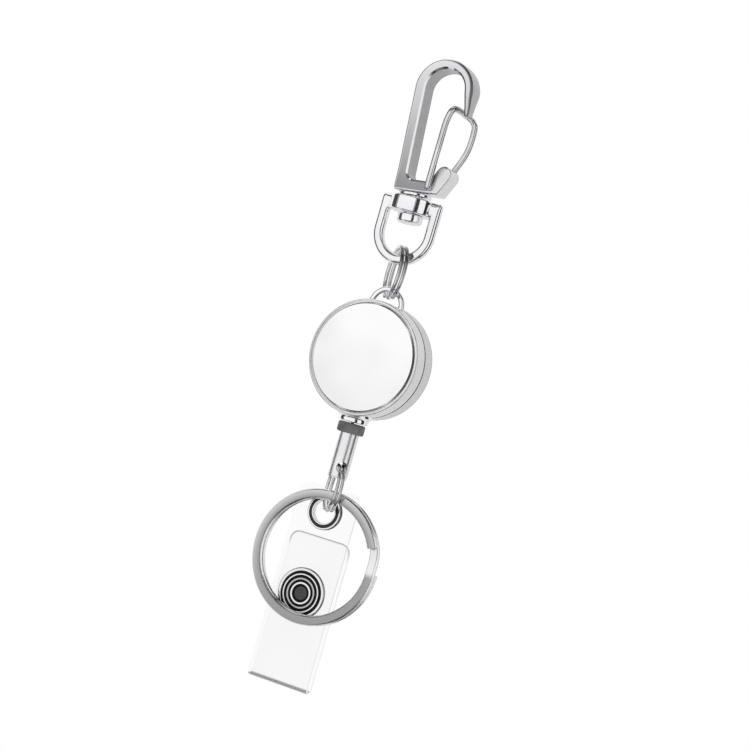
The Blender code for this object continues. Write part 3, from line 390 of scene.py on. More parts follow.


# a look's dark mark colour is painted shade and painted dark reflection, laid on where its piece's "tone"
# mark is high
chromeLook = {"tone": (0.92, 0.92, 0.93), "toneB": (0.85, 0.85, 0.87), "rough": 0.05, "roughB": 0.11,
              "hairline": 900.0, "cloud": 120.0, "grain": 1500.0, "bump": 0.02}
castLook = {"tone": (0.88, 0.88, 0.89), "toneB": (0.80, 0.80, 0.815), "rough": 0.10, "roughB": 0.17,
            "hairline": 700.0, "cloud": 90.0, "grain": 2600.0, "bump": 0.10,
            "paintedShade": (0.18, 0.18, 0.187), "paintedShadeRough": 0.30}
bandLook = {"tone": (0.86, 0.86, 0.87), "toneB": (0.78, 0.78, 0.80), "rough": 0.09, "roughB": 0.15,
            "hairline": 1100.0, "cloud": 100.0, "grain": 2400.0, "bump": 0.06,
            "paintedShade": (0.36, 0.36, 0.365), "paintedShadeRough": 0.36}
caseLook = {"tone": (0.84, 0.84, 0.85), "toneB": (0.77, 0.77, 0.785), "rough": 0.15, "roughB": 0.24,
            "hairline": 800.0, "cloud": 80.0, "grain": 1800.0, "bump": 0.03,
            "paintedShade": (0.13, 0.13, 0.135), "paintedShadeRough": 0.30}
sleeveLook = {"tone": (0.90, 0.90, 0.91), "toneB": (0.83, 0.83, 0.845), "rough": 0.26, "roughB": 0.34,
              "hairline": 900.0, "cloud": 150.0, "grain": 2200.0, "bump": 0.04}
faceLook = {"tone": (0.97, 0.97, 0.973), "toneB": (0.82, 0.82, 0.83), "rough": 0.12, "roughB": 0.20,
            "hairline": 500.0, "cloud": 38.0, "grain": 1200.0, "bump": 0.012}
snapLook = {"tone": (0.86, 0.86, 0.87), "toneB": (0.78, 0.78, 0.80), "rough": 0.05, "roughB": 0.10,
            "hairline": 900.0, "cloud": 150.0, "grain": 1800.0, "bump": 0.03,
            "paintedShade": (0.012, 0.012, 0.013), "paintedShadeRough": 0.30}
ringLook = {"tone": (0.78, 0.78, 0.79), "toneB": (0.62, 0.62, 0.635), "rough": 0.06, "roughB": 0.13,
            "hairline": 1200.0, "cloud": 260.0, "grain": 2000.0, "bump": 0.03,
            "paintedShade": (0.16, 0.16, 0.165), "paintedShadeRough": 0.16}
steelLook = {"tone": (0.50, 0.51, 0.53), "toneB": (0.42, 0.43, 0.46), "rough": 0.18, "roughB": 0.30,
             "hairline": 900.0, "cloud": 150.0, "grain": 2000.0, "bump": 0.05}
chrome = metal("brightChrome", chromeLook)
castNickel = metal("satinCastNickel", castLook)
bandNickel = metal("brushedBandNickel", bandLook)
caseNickel = metal("caseNickel", caseLook)
sleeveNickel = metal("sleeveNickel", sleeveLook)
mirrorFace = metal("mirrorFace", faceLook)
snapChrome = metal("snapChrome", snapLook)
ringNickel = metal("ringNickel", ringLook)
springSteel = metal("blueSpringSteel", steelLook)


def moulded(name, look):
    # rubber, plastic and cord: tone by cloud, gloss by grain, a grained surface
    material, shader, wear = blank(name, look)
    links = material.node_tree.links
    links.new(cloudTone(material, wear, look), shader.inputs["Base Color"])
    links.new(gloss(material, wear, look, "grain"), shader.inputs["Roughness"])
    bump(material, shader, wear.outputs["grain"], look["bump"], bumpDepth["moulded"])
    return material


rubberLook = {"tone": (0.08, 0.08, 0.081), "toneB": (0.15, 0.15, 0.152), "rough": 0.42, "roughB": 0.58,
              "hairline": 700.0, "cloud": 300.0, "grain": 3200.0, "bump": 0.30}
mouldLook = {"tone": (0.74, 0.73, 0.71), "toneB": (0.69, 0.68, 0.66), "rough": 0.38, "roughB": 0.50,
             "hairline": 700.0, "cloud": 120.0, "grain": 2500.0, "bump": 0.15}
cordLook = {"tone": (0.016, 0.016, 0.017), "toneB": (0.030, 0.030, 0.032), "rough": 0.55, "roughB": 0.75,
            "hairline": 700.0, "cloud": 700.0, "grain": 6000.0, "bump": 0.50}
cutLook = {"tone": (0.95, 0.953, 0.955), "toneB": (0.90, 0.903, 0.906), "rough": 0.30, "roughB": 0.42,
           "hairline": 700.0, "cloud": 200.0, "grain": 3000.0, "bump": 0.10}
rubber = moulded("blackRubber", rubberLook)
whiteMoulding = moulded("whiteMoulding", mouldLook)
blackCord = moulded("blackCord", cordLook)
cutVinyl = moulded("cutVinyl", cutLook)


def openFromInside(material):
    # light that runs inside the sheet leaves through the cut edge, which is solid only from outside
    nodes, links = material.node_tree.nodes, material.node_tree.links
    inside = nodes.new("ShaderNodeNewGeometry").outputs["Backfacing"]
    links.new(remap(material, inside, (0.0, 1.0), (1.0, 0.0)), nodes["Principled BSDF"].inputs["Alpha"])


openFromInside(cutVinyl)


def clearVinyl(name, look):
    # see-through sheet; the "tone" mark paints grey shade along cut edges and at the fold
    material, shader, wear = blank(name, look)
    links = material.node_tree.links
    shader.inputs["Transmission Weight"].default_value = 1.0
    shader.inputs["IOR"].default_value = look["bend"]
    colour = mixColour(material, attribute(material, "tone"), cloudTone(material, wear, look), look["edge"])
    links.new(colour, shader.inputs["Base Color"])
    links.new(gloss(material, wear, look, "hairline"), shader.inputs["Roughness"])
    bump(material, shader, wear.outputs["cloud"], look["bump"], bumpDepth["vinyl"])
    return material


vinylLook = {"tone": (0.966, 0.967, 0.968), "toneB": (0.952, 0.953, 0.956), "edge": (0.24, 0.245, 0.25),
             "rough": 0.015, "roughB": 0.05, "bend": 1.22, "hairline": 500.0, "cloud": 60.0, "grain": 900.0,
             "bump": 0.05}
vinyl = clearVinyl("clearVinyl", vinylLook)
print("materials made")


# snap hook: its own frame leans about Y and is put in place by leaned()
hook = {"thickness": 6.0, "legWidth": 2.9, "edge": 0.5, "outerEdge": 0.8, "leg": 2.0, "crook": 5.2,
        "rise": 26.1, "slot": 3.0, "slotCorner": 2.0, "footRound": 0.7, "lean": 0.0773273,
        "foot": (-0.7725, 0.0, -31.4537), "outlineStep": 0.22, "netStep": 0.5, "edgeBlend": 9, "sharp": 38.0}
hookNose = {"width": 2.2, "drop": 5.8, "tip": 0.6, "slant": 0.1, "from": 8.6, "fineEdge": (8.0, 24.0),
            "thin": 0.5, "thinFrom": 6.5, "thinFade": 1.5, "thinDrop": 7.0}
hookLug = {"foot": 4.6, "length": 8.0, "width": 4.0, "lean": 30.0, "reach": (3.0, 9.0)}
# levels of the hook's painted shade and painted highlights
hookShadeTones = {"base": 0.84, "fade": 0.0225, "least": 0.06, "slotWall": 0.64, "lugWall": 0.05, "wall": 0.25,
             "lug": 0.22, "crookWall": 0.5, "crookLine": 0.95, "lugFade": (1.5, 1.8), "crookFade": (4.0, 7.0),
             "wallShare": 0.85, "faceShare": 0.995}


def leaned(local):
    # turns points of the hook's own frame by its lean about Y, then moves them to its foot
    sine, cosine = math.sin(hook["lean"]), math.cos(hook["lean"])
    x, y, z = local[..., 0], local[..., 1], local[..., 2]
    return np.array(hook["foot"]) + np.stack([x * cosine - z * sine, y, x * sine + z * cosine], -1)


def hookOutline():
    # foot, leaning lug, slot corner, crook inside, nose, crook outside, as arcs joined by lines
    crookX = hook["crook"] - hook["leg"]
    lean = math.radians(hookLug["lean"])
    along = np.array([math.sin(lean), math.cos(lean)])
    across = np.array([math.cos(lean), -math.sin(lean)])
    lugHalf = hookLug["width"] / 2
    foot = np.array([hookLug["foot"], 0.0])
    lugEnd = foot + along * (hookLug["length"] - lugHalf)
    lugArc = arcPoints(lugEnd, lugHalf, -hookLug["lean"], 180 - hookLug["lean"], 22)
    rightFoot = foot + across * lugHalf
    rightFoot -= along * rightFoot[1] / along[1]
    footRight = fillet([(0.0, 0.0), rightFoot, lugArc[0]], (0, hook["footRound"], 0))[1:-1]
    leftFoot = foot - across * lugHalf
    leftFoot += along * (hook["slot"] - leftFoot[1]) / along[1]
    corner = arcPoints((-hook["leg"] + hook["slotCorner"], hook["slot"] + hook["slotCorner"]),
                       hook["slotCorner"], 270, 180, 12)
    inside = arcPoints((crookX, hook["rise"]), hook["crook"], 180, 0, 40)
    tip = (crookX + hook["crook"] + hookNose["width"] / 2 + hookNose["slant"],
           hook["rise"] - hookNose["drop"] + hookNose["tip"])
    nose = arcPoints(tip, hookNose["tip"], 180, 360, 14)
    thinning = (hook["legWidth"] - hookNose["width"]) / 2
    outerRadius = hook["crook"] + hook["legWidth"] - thinning
    outside = arcPoints((crookX - thinning, hook["rise"]), outerRadius, 0, 180, 56)
    legLeft = -hook["leg"] - hook["legWidth"]
    footLeft = arcPoints((legLeft + hook["footRound"], hook["footRound"]), hook["footRound"], 180, 270, 8)
    return np.concatenate([footLeft, footRight, lugArc, leftFoot[None], corner, inside, nose, outside])


def roundedPlate(loop, thickness, edge, sloped, steps=7):
    # the outline stepped inwards along its own normals at both faces, by a quarter round
    # or, where sloped is set, by a plain slope; each point of the outline has its own size
    ahead = unit(np.roll(loop, -1, 0) - np.roll(loop, 1, 0))
    inside = np.stack([-ahead[:, 1], ahead[:, 0]], -1)
    if np.sum(loop[:, 0] * np.roll(loop[:, 1], -1) - np.roll(loop[:, 0], -1) * loop[:, 1]) < 0:
        inside = -inside
    angle = np.linspace(0, math.pi / 2, steps)[:, None]
    slope = angle / (math.pi / 2)
    inset = edge[None] * np.where(sloped[None], slope, 1 - np.cos(angle))
    height = thickness / 2 - edge[None] * np.where(sloped[None], 1 - slope, 1 - np.sin(angle))
    inset = np.concatenate([inset[::-1], inset])
    height = np.concatenate([-height[::-1], height])
    level = loop[None] + inset[..., None] * inside[None]
    return np.stack([level[..., 0], height, level[..., 1]], -1)


def filledOutline(loop, step, clear=0.55):
    # triangles over a closed outline: its own points, then a lattice of points kept clear of it
    low, high = loop.min(0), loop.max(0)
    lattice = np.stack(np.meshgrid(np.arange(low[0], high[0], step), np.arange(low[1], high[1], step)), -1)
    lattice = lattice.reshape(-1, 2)
    near = np.min(np.linalg.norm(lattice[:, None] - loop[None], axis=-1), 1)
    points = np.concatenate([loop, lattice[near > step * clear]])
    made = delaunay_2d_cdt(points.tolist(), [], [list(range(len(loop)))], 1, 1e-7)
    faces = np.array(made[3])[:, 0][np.array(made[2])]
    used = np.unique(faces[faces >= len(loop)])
    place = np.arange(len(points))
    place[used] = len(loop) + np.arange(len(used))
    return points[used], place[faces]


hookLoop = evenSteps(hookOutline(), hook["outlineStep"], closed=True)
hookX, hookRise = hookLoop[:, 0], hookLoop[:, 1]
fromCrook = np.hypot(hookX - hook["crook"] + hook["leg"], np.maximum(hookRise - hook["rise"], 0.0))
inSlot = (hookRise > hook["slot"] - 0.1) & (fromCrook < hook["crook"] + 0.3) & (hookX < hookNose["from"])
onLug = (hookX > hookLug["foot"] - hookLug["reach"][0]) & (hookRise < hookLug["reach"][1])
onTip = (hookX > hookNose["fineEdge"][0]) & (hookRise < hookNose["fineEdge"][1])
edgeSize = np.where(inSlot | onLug | onTip | (hookRise < hook["slot"]), hook["edge"], hook["outerEdge"])
edgeSize = np.mean([np.roll(edgeSize, step) for step in range(-hook["edgeBlend"], hook["edgeBlend"] + 1)], 0)
hookGrid = roundedPlate(hookLoop, hook["thickness"], np.where(inSlot, hook["edge"], edgeSize), inSlot)


def hookShape():
    # the rounded wall, closed by a triangle net on each face; the nose thins towards its tip
    rows, columns = hookGrid.shape[:2]
    within, net = filledOutline(hookGrid[0][:, [0, 2]], hook["netStep"])
    level = np.full((len(within), 1), hook["thickness"] / 2)
    frontNet = np.concatenate([within[:, :1], -level, within[:, 1:]], 1)
    local = np.concatenate([hookGrid.reshape(-1, 3), frontNet, frontNet * (1, -1, 1)])
    start = rows * columns
    frontFaces = np.where(net < columns, net, net + start - columns)
    backFaces = np.where(net < columns, net + (rows - 1) * columns, net + start - columns + len(within))
    share = np.abs(local[:, 1]) / (hook["thickness"] / 2)
    onNose = ease((local[:, 0] - hookNose["thinFrom"]) / hookNose["thinFade"])
    onNose *= ease((hook["rise"] + hookNose["thinFade"] - local[:, 2]) / hookNose["thinDrop"])
    onNose *= local[:, 2] > hook["rise"] / 2
    local[:, 1] *= 1 - hookNose["thin"] * onNose
    points = leaned(local) * mm
    groups = [gridFaces(rows, columns, False, True), frontFaces[:, ::-1], backFaces]
    return (points, outward(points, groups)), local, share


def hookPaintedShade(local, share):
    # painted shade, darker down the leg and on the slot's wall; lighter and glossier along the edges and the
    # lug bright on its right, the lightness a painted highlight; a painted dark line on the crook's rounded
    # edge
    rows, columns = hookGrid.shape[:2]
    face = np.clip(hookShadeTones["base"] - hookShadeTones["fade"] * local[:, 2], hookShadeTones["least"], 1.0)
    lugRight = local[:, 0] - hookLug["foot"] - local[:, 2] * math.tan(math.radians(hookLug["lean"]))
    lugFrom, lugOver = hookShadeTones["lugFade"]
    lugBright = ease((lugRight + lugFrom) / lugOver) * (local[:, 2] < hookLug["length"] + 1.0)
    face += (hookShadeTones["lug"] - face) * lugBright
    crookOver, crookDrop = hookShadeTones["crookFade"]
    onCrook = ease((hookX - hook["crook"] + hook["leg"]) / crookOver)
    onCrook *= ~inSlot & (hookRise > hook["rise"] - crookDrop)
    wall = np.where(inSlot, hookShadeTones["slotWall"], np.where(onLug, hookShadeTones["lugWall"], hookShadeTones["wall"]))
    wall += (hookShadeTones["crookWall"] - wall) * onCrook
    wallShare = share[:rows * columns]
    rim = np.where(wallShare < hookShadeTones["wallShare"], np.tile(wall, rows),
                   hookShadeTones["crookLine"] * np.tile(onCrook, rows))
    tone = face.copy()
    tone[:rows * columns] = np.where(wallShare > hookShadeTones["faceShare"], face[:rows * columns], rim)
    return tone


hookMesh, hookLocal, hookShare = hookShape()
hookPiece = piece("snapHook", hookMesh, castNickel, "hook", ("hook_body",), hook["sharp"])
mark(hookPiece, "tone", hookPaintedShade(hookLocal, hookShare))


# wire gate: a loop of round wire whose two feet sit in the lug
gate = {"wire": 1.6, "side": 4.1, "top": 20.2, "catch": 3.0, "bow": 2.9, "lugTop": 3.6, "tip": 2.1,
        "bend": 0.96, "pivot": (4.4, 0.0, 1.5), "middle": (11.0, 0.0, 9.0)}


def gatePath():
    # smooth curve through the wire's bends, given from the pivot: x across, y through, z up
    side, top, catch, tip, bend = (gate[key] for key in ("side", "top", "catch", "tip", "bend"))
    lugTop, bow, wire = gate["lugTop"], gate["bow"], gate["wire"]
    bends = [(0, -tip, 0), (0, bend - side, 0), (bend / 3, -side, bend),
             (catch * 0.38, -side, top * 0.55), (catch - wire * 0.78, -side, top - wire * 2),
             (catch - wire / 3, -side * 0.75, top - wire * 0.2), (catch, 0, top),
             (catch + wire * 0.1, side * 0.75, top - wire * 0.1),
             (catch + wire * 0.55, side, top - wire * 0.35),
             (catch + bow * 0.75, side, top - wire), (catch + bow, side, top - wire * 2.2),
             (lugTop + wire, side, top * 0.55), (lugTop * 0.75, side, top * 0.28),
             (bend / 2, side, bend), (0, side - bend, 0), (0, tip, 0)]
    return leaned(smoothPath(bends, 14) + np.array(gate["pivot"]))


piece("gateWire", tube(gatePath(), gate["wire"] / 2, 22, leaned(np.array(gate["middle"]))),
      ringNickel, "gate", ("gate_wire",))


# swivel: washer, rivet and the D-shaped eye, all turned or bent about the rivet's line
swivel = {"washer": (4.2, 0.7), "washerTop": -0.3, "washerEdge": 0.2, "shank": 1.75, "shankTop": -0.6,
          "head": (3.15, 2.2), "headLift": 0.25, "headEdges": (0.3, 0.75), "play": 0.3, "boss": 5.6,
          "bossEdge": 0.5, "axis": 0.001}


def turnedOnHook(profile, steps=72):
    # a profile turned about the hook's own upright line
    points, groups = spin(profile, (0, 0, 0), "up", steps)
    return leaned(points / mm) * mm, groups


def washerProfile():
    # an oblong below the hook's foot with rounded outer edges
    radius, depth = swivel["washer"]
    top, edge = swivel["washerTop"], swivel["washerEdge"]
    corners = [(swivel["axis"], top), (radius, top), (radius, top - depth), (swivel["axis"], top - depth)]
    return fillet(corners, (0, edge, edge, 0))


def rivetProfile():
    # a thin shank down to a wider head, which ends a little above the CAD rivet's low point
    radius, depth = swivel["head"]
    upper, lower = swivel["headEdges"]
    low = (boxEnds("swivel_rivet")[0][2] - hook["foot"][2]) / math.cos(hook["lean"]) + swivel["headLift"]
    corners = [(swivel["axis"], swivel["shankTop"]), (swivel["shank"], swivel["shankTop"]),
               (swivel["shank"], low + depth), (radius, low + depth), (radius, low), (swivel["axis"], low)]
    return fillet(corners, (0, 0, 0, upper, lower, 0))


piece("swivelWasher", turnedOnHook(washerProfile()), chrome, "hook", ("swivel_washer",))
piece("swivelRivet", turnedOnHook(rivetProfile()), chrome, "hook", ("swivel_rivet",))

eye = {"width": 16.4, "bar": 3.9, "side": 8.7, "wire": 2.9, "across": 2.68, "corner": 0.8, "innerCorner": 0.4,
       "bulge": 0.9}
eyeTop = np.array(joints["hook_swivel"]["pos_m"]) / mm


def dLoop(half, barZ, corner):
    # a half circle below, then up to two rounded corners on the bar's line
    return np.concatenate([arcPoints((0, -eye["side"]), half, 180, 360, 70),
                           arcPoints((half - corner, barZ - corner), corner, 0, 90, 8),
                           arcPoints((corner - half, barZ - corner), corner, 90, 180, 8)])


def eyeGrid(sides=40):
    # a squared circle drawn between the outer and the inner loop, matched point for point:
    # the cosine and sine of its section are raised to a power below one
    outside = dLoop(eye["width"] / 2, 0.0, eye["corner"])
    inside = dLoop(eye["width"] / 2 - eye["across"], -eye["bar"], eye["innerCorner"])
    middle, reach = (outside + inside) / 2, (outside - inside) / 2
    angle = np.linspace(0, 2 * math.pi, sides, endpoint=False)
    across = np.sign(np.cos(angle)) * np.abs(np.cos(angle)) ** eye["bulge"]
    through = np.sign(np.sin(angle)) * np.abs(np.sin(angle)) ** eye["bulge"] * eye["wire"] / 2
    level = middle[:, None] + reach[:, None] * across[None, :, None]
    return eyeTop + np.stack([level[..., 0], np.broadcast_to(through, level.shape[:2]), level[..., 1]], -1)


def bossShape():
    # a short round drum with the rivet's bore, its outer edges rounded
    bore, radius, edge = swivel["shank"] + swivel["play"], swivel["boss"], swivel["bossEdge"]
    corners = [(bore, 0.0), (radius, 0.0), (radius, -eye["bar"]), (bore, -eye["bar"])]
    return spin(fillet(corners, (0, edge, edge, 0), 7), eyeTop, "up", closed=True)


swivelEyeShape = joined(solidGrid(eyeGrid() * mm, wrapRows=True), bossShape())
piece("swivelEye", swivelEyeShape, chrome, "yoke", ("swivel_yoke",))
print("hook, gate and swivel shaped")


# split rings: two turns of round wire side by side, crossing over in the jog
rings = {"turn": 37.0, "jog": 36.0, "gap": 0.2, "start": 270.0, "shadeFade": (3.0, 6.0)}
upperRing = {"diameter": 13.9, "wire": 1.0, "shade": 0.85}
lowerRing = {"diameter": 12.4, "wire": 0.85, "shade": 0.25}
ringTurn = math.radians(rings["turn"])
ringAcross = np.array([math.cos(ringTurn), math.sin(ringTurn), 0.0])
ringLevel = np.array([-math.sin(ringTurn), math.cos(ringTurn), 0.0])
upright = np.array([0.0, 0.0, 1.0])


def splitRing(ring, centre):
    # angle runs twice round less the jog; the sideways place eases from one turn to the other
    jog = math.radians(rings["jog"])
    run = np.linspace(jog / 2, 4 * math.pi - jog / 2, 240)
    side = (2 * ease((run - 2 * math.pi) / jog + 0.5) - 1) * (ring["wire"] + rings["gap"]) / 2
    angle = (math.radians(rings["start"]) + run)[:, None]
    radius = (ring["diameter"] - ring["wire"]) / 2
    circle = radius * (np.cos(angle) * ringLevel + np.sin(angle) * upright)
    return tube(centre + side[:, None] * ringAcross + circle, ring["wire"] / 2, 18, centre)


def splitRingPiece(name, ring, node, body):
    # hangs at the CAD ring's middle; the strand on the front gets painted shade, darker towards its top
    centre = np.array([0.0, 0.0, boxMiddle(node)[2]])
    shape = splitRing(ring, centre)
    obj = piece(name, shape, ringNickel, body, (node,))
    away = shape[0] / mm - centre
    nearFade, topFade = rings["shadeFade"]
    shade = ease(-away @ ringLevel / nearFade) * ease((away[:, 2] + topFade / 2) / topFade)
    mark(obj, "tone", ring["shade"] * shade)


splitRingPiece("upperSplitRing", upperRing, "upper_split_ring", "upper_link")
splitRingPiece("lowerSplitRing", lowerRing, "lower_split_ring", "lower_link")


# reel case: two covers with a seam, a bright face let into the front rim, a lug and a spout
case = {"radius": 14.5, "depth": 10.2, "wall": 0.7, "edge": 0.42, "backEdge": 0.7, "seam": 0.1,
        "seamGap": 0.16, "seamEdge": 0.16, "lip": 0.3, "recess": 0.5, "rimEdge": 0.06, "postHole": 1.6,
        "postEdge": 0.15, "steps": 200, "sharp": 30.0, "seamTone": 0.9, "edgeTone": 0.7,
        "backTone": 0.15, "toneFade": 0.1}
plate = {"radius": 13.9, "gap": 0.1, "seat": 0.02, "proud": 0.1, "crown": 0.05, "bevel": (0.7, 0.505),
         "edges": (0.05, 0.12), "foot": 0.3, "flat": 0.4, "crownIn": 0.05, "centre": 0.02}
caseMiddle = np.array(joints["spool_spin"]["pos_m"]) / mm
caseFront = case["depth"] / 2
caseInner = case["radius"] - case["wall"]
recessFloor = caseFront - case["recess"]


def frontCoverProfile():
    # recess floor, rim, rounded front edge, wall down to the seam's lip, and back up inside
    seam, rim = case["seam"] + case["seamGap"], plate["radius"] + plate["gap"]
    corners = [(rim, recessFloor), (rim, caseFront), (case["radius"], caseFront),
               (case["radius"], seam + case["lip"]), (case["radius"], seam), (caseInner, seam),
               (caseInner, recessFloor - case["wall"])]
    return fillet(corners, (0, case["rimEdge"], case["edge"], 0, case["seamEdge"], 0, 0), 9)


def backCoverProfile():
    # hole for the post, flat back, rounded edge, wall up to the seam's lip, and back down inside
    seam, floor = case["seam"] - case["seamGap"], case["wall"] - caseFront
    corners = [(case["postHole"], floor), (case["postHole"], -caseFront), (case["radius"], -caseFront),
               (case["radius"], case["backEdge"] + case["lip"] - caseFront),
               (case["radius"], seam - case["lip"]), (case["radius"], seam), (caseInner, seam),
               (caseInner, floor)]
    return fillet(corners, (0, case["postEdge"], case["backEdge"], 0, 0, case["seamEdge"], 0, 0), 9)


def plateProfile():
    # a bevelled edge round a face that is crowned by one less the square of the way out
    radius, top, low = plate["radius"], caseFront + plate["proud"], recessFloor + plate["seat"]
    bevelIn, bevelDown = plate["bevel"]
    flatFrom = radius - bevelIn - plate["flat"]
    corners = [(radius - plate["foot"], low), (radius, low), (radius, top - bevelDown),
               (radius - bevelIn, top), (flatFrom, top)]
    edge = fillet(corners, (0, 0, *plate["edges"], 0))
    share = np.linspace(1, plate["centre"], 24)
    crown = np.stack([(flatFrom - plate["crownIn"]) * share, top + plate["crown"] * (1 - share ** 2)], -1)
    return np.concatenate([edge, crown])


def coverTone(points, base):
    # painted shade along the seam's lips and a painted dark line round the turn of the back edge
    at = points / mm - caseMiddle
    onLip = np.abs(at[:, 1] + case["seam"]) < case["seamGap"] + case["toneFade"]
    outerSkin = np.hypot(at[:, 0], at[:, 2]) > case["radius"] - case["backEdge"] * 0.7
    onBack = ease((at[:, 1] - caseFront + case["backEdge"] + case["toneFade"]) / case["toneFade"]) * outerSkin
    return np.maximum(np.maximum(case["seamTone"] * onLip, case["edgeTone"] * onBack), base)


frontShape = spin(frontCoverProfile(), caseMiddle, "front", case["steps"])
backShape = spin(backCoverProfile(), caseMiddle, "front", case["steps"], closed=True)
plateShape = spin(plateProfile(), caseMiddle, "front", case["steps"])
frontCover = piece("frontCover", frontShape, caseNickel, "reel", ("front_cover",),
                   case["sharp"])
backCover = piece("backCover", backShape, caseNickel, "reel", ("back_cover",), case["sharp"])
mark(frontCover, "tone", coverTone(frontShape[0], 0.0))
mark(backCover, "tone", coverTone(backShape[0], case["backTone"]))
piece("facePlate", plateShape, mirrorFace, "reel", ("face_plate",), case["sharp"])

lug = {"wire": 1.5, "inner": 3.35, "sink": 0.35, "step": 0.2, "spokeDrop": 4.0}


def lugShape():
    # a half circle of wire with straight legs down into the case's wall
    radius = lug["inner"] + lug["wire"] / 2
    archZ = boxEnds("lug_loop")[1][2] - radius - lug["wire"] / 2
    footZ = caseMiddle[2] + math.sqrt(case["radius"] ** 2 - radius ** 2) - lug["sink"]
    arch = arcPoints((0.0, archZ), radius, 180, 0, 60)
    arch = evenSteps(np.concatenate([[(-radius, footZ)], arch, [(radius, footZ)]]), lug["step"])
    path = np.stack([arch[:, 0], np.zeros(len(arch)), arch[:, 1]], -1)
    return tube(path, lug["wire"] / 2, 24, (0.0, 0.0, archZ - lug["spokeDrop"]), domed=False)


piece("lugLoop", lugShape(), chrome, "reel", ("lug_loop",))

spout = {"radius": 3.65, "flare": 1.15, "flareLift": 0.6, "bore": 1.0, "rise": 3.2, "neck": 4.75,
         "edges": (0.3, 0.32)}
lipZ = boxEnds("nozzle")[0][2]


def spoutProfile():
    # down the bore, round the lip, and up a concave flare into the case
    bore, radius, top = spout["bore"], spout["radius"], lipZ + spout["rise"]
    flare = arcPoints((radius + spout["flare"], lipZ + spout["flareLift"]), spout["flare"], 180, 96, 14)
    lip = fillet([(bore, top), (bore, lipZ), (radius, lipZ), flare[0]], (0, *spout["edges"], 0), 7)
    return np.concatenate([lip, flare[1:], [(spout["neck"], top)]])


piece("spout", spin(spoutProfile(), (0, 0, 0), "up", closed=True), chrome, "reel",
      ("nozzle",))
print("case shaped")


# end of the cord: rubber stopper, bright ferrule with a cross hole, and the cord between
stop = {"radius": 3.4, "height": 2.6, "edge": 0.5, "bore": 0.65, "cup": (2.65, 0.8)}
stopZ = boxEnds("stopper")[1][2]


def stopProfile():
    # a short drum with rounded edges and a shallow cup below for the ferrule
    low = stopZ - stop["height"]
    cupRadius, cupDepth = stop["cup"]
    return fillet([(stop["bore"], stopZ), (stop["radius"], stopZ), (stop["radius"], low), (cupRadius, low),
                   (cupRadius, low + cupDepth), (stop["bore"], low + cupDepth)],
                  (0, stop["edge"], stop["edge"], 0, 0, 0), 7)


piece("rubberStopper", spin(stopProfile(), (0, 0, 0), "up", closed=True), rubber, "cord_end",
      ("stopper",))

sleeve = {"radius": 2.45, "wall": 0.5, "top": 0.8, "topEdge": 0.22, "topSeat": 0.25, "hole": 1.45,
          "holeCore": 0.4, "tuck": 0.12, "tuckRise": 0.5}
sleeveLow, sleeveHigh = (corner[2] for corner in boxEnds("ferrule"))
holeZ = joints["lower_ring_swing"]["pos_m"][2] / mm
holeTurn = math.atan2(joints["lower_ring_swing"]["axis"][1], joints["lower_ring_swing"]["axis"][0])


def sleeveWall(rows=260, columns=170):
    # a cylinder by angle and height, drawn in at its foot; points inside either cross hole go out to its rim
    turn = np.linspace(0, 2 * math.pi, rows, endpoint=False)[:, None] + holeTurn
    angle = np.repeat(turn, columns, 1)
    height = np.repeat(np.linspace(sleeveLow, sleeveHigh - sleeve["topSeat"], columns)[None], rows, 0)
    keep = np.ones((rows, columns - 1), bool)
    for side in (0.0, math.pi):
        along = ((angle - holeTurn - side + math.pi) % (2 * math.pi) - math.pi) * sleeve["radius"]
        away = np.hypot(along, height - holeZ)
        pair = away + np.roll(away, -1, 0)
        keep &= (pair[:, :-1] + pair[:, 1:]) / 4 > sleeve["hole"]
        near = (away < sleeve["hole"]) & (away > sleeve["holeCore"])
        push = np.where(near, sleeve["hole"] / np.maximum(away, sleeve["holeCore"]), 1.0)
        angle += along * (push - 1) / sleeve["radius"]
        height += (height - holeZ) * (push - 1)
    radial = np.stack([np.cos(angle), np.sin(angle), np.zeros_like(angle)], -1)
    tuck = sleeve["tuck"] * ease(1 - (height - sleeveLow) / sleeve["tuckRise"])
    middle = radial * (sleeve["radius"] - sleeve["wall"] / 2 - tuck)[..., None]
    middle[..., 2] = height
    return thickSheet(middle, radial, sleeve["wall"], keep, wrapRows=True)[:2]


def sleeveRoof():
    # a disc with the cord's bore and a rounded rim, coned on its underside
    rimLow = sleeveHigh - sleeve["topSeat"] - 0.01
    profile = fillet([(stop["bore"], sleeveHigh), (sleeve["radius"], sleeveHigh), (sleeve["radius"], rimLow),
                      (stop["bore"], sleeveHigh - sleeve["top"])], (0, sleeve["topEdge"], 0, 0))
    return spin(profile, (0, 0, 0), "up", closed=True)


piece("ferruleTube", joined(sleeveWall(), sleeveRoof()), sleeveNickel, "cord_end",
      ("ferrule",))

pull = {"thick": 0.8, "inside": 3.6, "below": 5.5, "inset": 0.1, "spokeFrom": (0.0, -50.0, 0.0)}
pullZ = np.concatenate([np.linspace(lipZ + pull["inside"], lipZ + pull["inset"], 10),
                        np.linspace(lipZ, stopZ, 40),
                        np.linspace(stopZ - pull["inset"], stopZ - pull["below"], 10)])
pullPath = np.stack([np.zeros_like(pullZ), np.zeros_like(pullZ), pullZ], -1)
pullCord = piece("pullCord", tube(pullPath, pull["thick"] / 2, 14, pull["spokeFrom"], domed=False), blackCord,
                 None, ("cord_run",))
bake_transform(pullCord)
print("pull cord, stopper and ferrule shaped")


# key ring: a flat band in two turns, front turn first, crossing to the rear in the jog
keyRing = {"outside": 33.6, "band": 2.5, "layer": 1.4, "edge": 0.42, "corner": 0.06, "gap": 0.2, "jog": 24.0,
           "start": 12.0, "flatBand": 0.03, "jogBright": (0.42, 0.25), "shine": 0.62, "shineFrom": 25.0,
           "sharp": 30.0}


